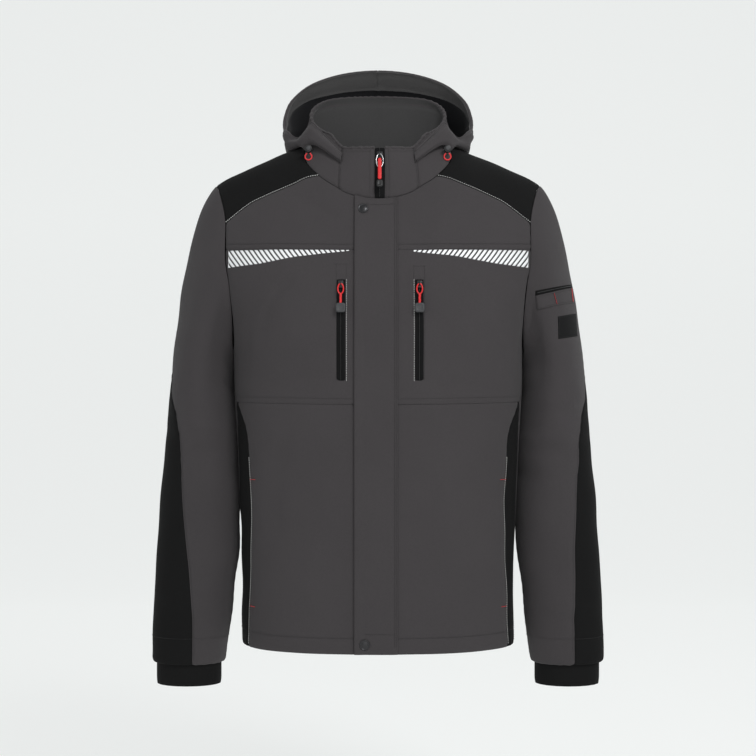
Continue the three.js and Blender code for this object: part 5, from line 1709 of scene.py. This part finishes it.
# Hood cord locks, and the loop of cord that hangs from each
lock = {
    "place": (101.8, -58.5, 15),
    "radius": 1.0,
    "held": 1.5,   # length inside the lock at each end
}
halfLoop = [(4.9, -10.4), (4.7, -12.3), (3.8, -13.9), (2.4, -15), (0.8, -15.6)]
halfLoop = [(2, -5.8), (3.3, -7), (4.4, -8.6), *halfLoop]
loopRoute = [(-x, z) for x, z in halfLoop] + halfLoop[::-1]
for sideName, sign in sides.items():
    softened(f"cord_lock_{sideName}", "cordLock", 1.0, 4)
    softened(f"cord_button_{sideName}", "greyRubber", 0.6, 4)
    lockX, lockY, lockZ = lock["place"]
    route = np.array([(sign * lockX + x, lockY, lockZ + z) for x, z in loopRoute]) * mm
    curve = bpy.data.curves.new(f"hoodCord_{sideName}", "CURVE")
    curve.dimensions = "3D"
    curve.bevel_depth = lock["radius"] * mm
    curve.bevel_resolution = 4
    spline = curve.splines.new("POLY")
    spline.points.add(len(route) - 1)
    for point, place in zip(spline.points, route):
        point.co = (*place, 1)
    spline.use_smooth = True
    curve.materials.append(finishes["redCord"])
    cordPiece = bpy.data.objects.new(f"hoodCord_{sideName}", curve)
    bpy.context.scene.collection.objects.link(cordPiece)
    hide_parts(f"cord_loop_{sideName}")
    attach(cordPiece, "jacket")
print("hardware and cords made")

# Floor, backdrop, light and camera
studio = {
    "paper": (0.42, 0.43, 0.425),
    "glow": (0.955, 0.97, 0.962), "glowStrength": 0.56,    # the paper's own light
    "floorZ": -1.05, "frontY": -5.5, "wallY": 4.2, "wallTop": 5, "bend": 1.4, "halfWidth": 5.5,
    "sky": (0.93, 0.95, 0.96), "skyStrength": 0.46,
    "aim": (0, 0, -0.35),
    # watts, place, width; the key light hangs above the wearer's front left
    "lights": {
        "keyLight": (44, (1.25, -2.1, 1.75), 0.9),
        "frontLight": (13, (0.3, -3.2, 0.1), 1.8),
        "fillLight": (9, (-1.9, -2.0, 0.5), 2.0),
        "backLight": (8, (0.4, 1.5, 1.9), 1.6),
    },
    "camera": (0, -2.5, -0.32), "lens": 79.4,
}


def makeStage():
    # a floor that runs up into a backdrop in one curve
    floorZ, wallY, bend = studio["floorZ"], studio["wallY"], studio["bend"]
    angles = np.linspace(0, np.pi / 2, 24)
    curve = [(wallY - bend + bend * math.sin(a), floorZ + bend - bend * math.cos(a)) for a in angles]
    rows = np.array([(studio["frontY"], floorZ), *curve, (wallY, studio["wallTop"])])
    grid = np.stack([points(x, rows[:, 0], rows[:, 1]) for x in (-studio["halfWidth"], studio["halfWidth"])], 1)
    paper = newMaterial("paper", studio["paper"], 0.9)
    shader = paper.node_tree.nodes["Principled BSDF"]
    shader.inputs["Emission Color"].default_value = (*studio["glow"], 1)
    shader.inputs["Emission Strength"].default_value = studio["glowStrength"]
    makeObject("backdrop", grid.reshape(-1, 3), gridFaces(len(rows), 2), paper)


def areaLight(name, power, place, size):
    light = bpy.data.lights.new(name, "AREA")
    light.energy = power
    light.size = size
    made = bpy.data.objects.new(name, light)
    made.location = place
    way = Vector(studio["aim"]) - Vector(place)
    made.rotation_euler = way.to_track_quat("-Z", "Y").to_euler()
    made.visible_camera = False
    bpy.context.scene.collection.objects.link(made)


makeStage()
for lightName, lightSettings in studio["lights"].items():
    areaLight(lightName, *lightSettings)
world = bpy.data.worlds.new("paleRoom")
world.use_nodes = True
sky = world.node_tree.nodes["Background"]
sky.inputs["Color"].default_value = (*studio["sky"], 1)
sky.inputs["Strength"].default_value = studio["skyStrength"]
bpy.context.scene.world = world
bpy.context.scene.view_settings.view_transform = "Standard"

camera = bpy.data.cameras.new("camera")
camera.lens = studio["lens"]
camera.sensor_width = 36
cameraHolder = bpy.data.objects.new("camera", camera)
cameraHolder.location = studio["camera"]
cameraHolder.rotation_euler = (math.pi / 2, 0, 0)
bpy.context.scene.collection.objects.link(cameraHolder)
bpy.context.scene.camera = cameraHolder
print("stage, light and camera set")

print("finished")
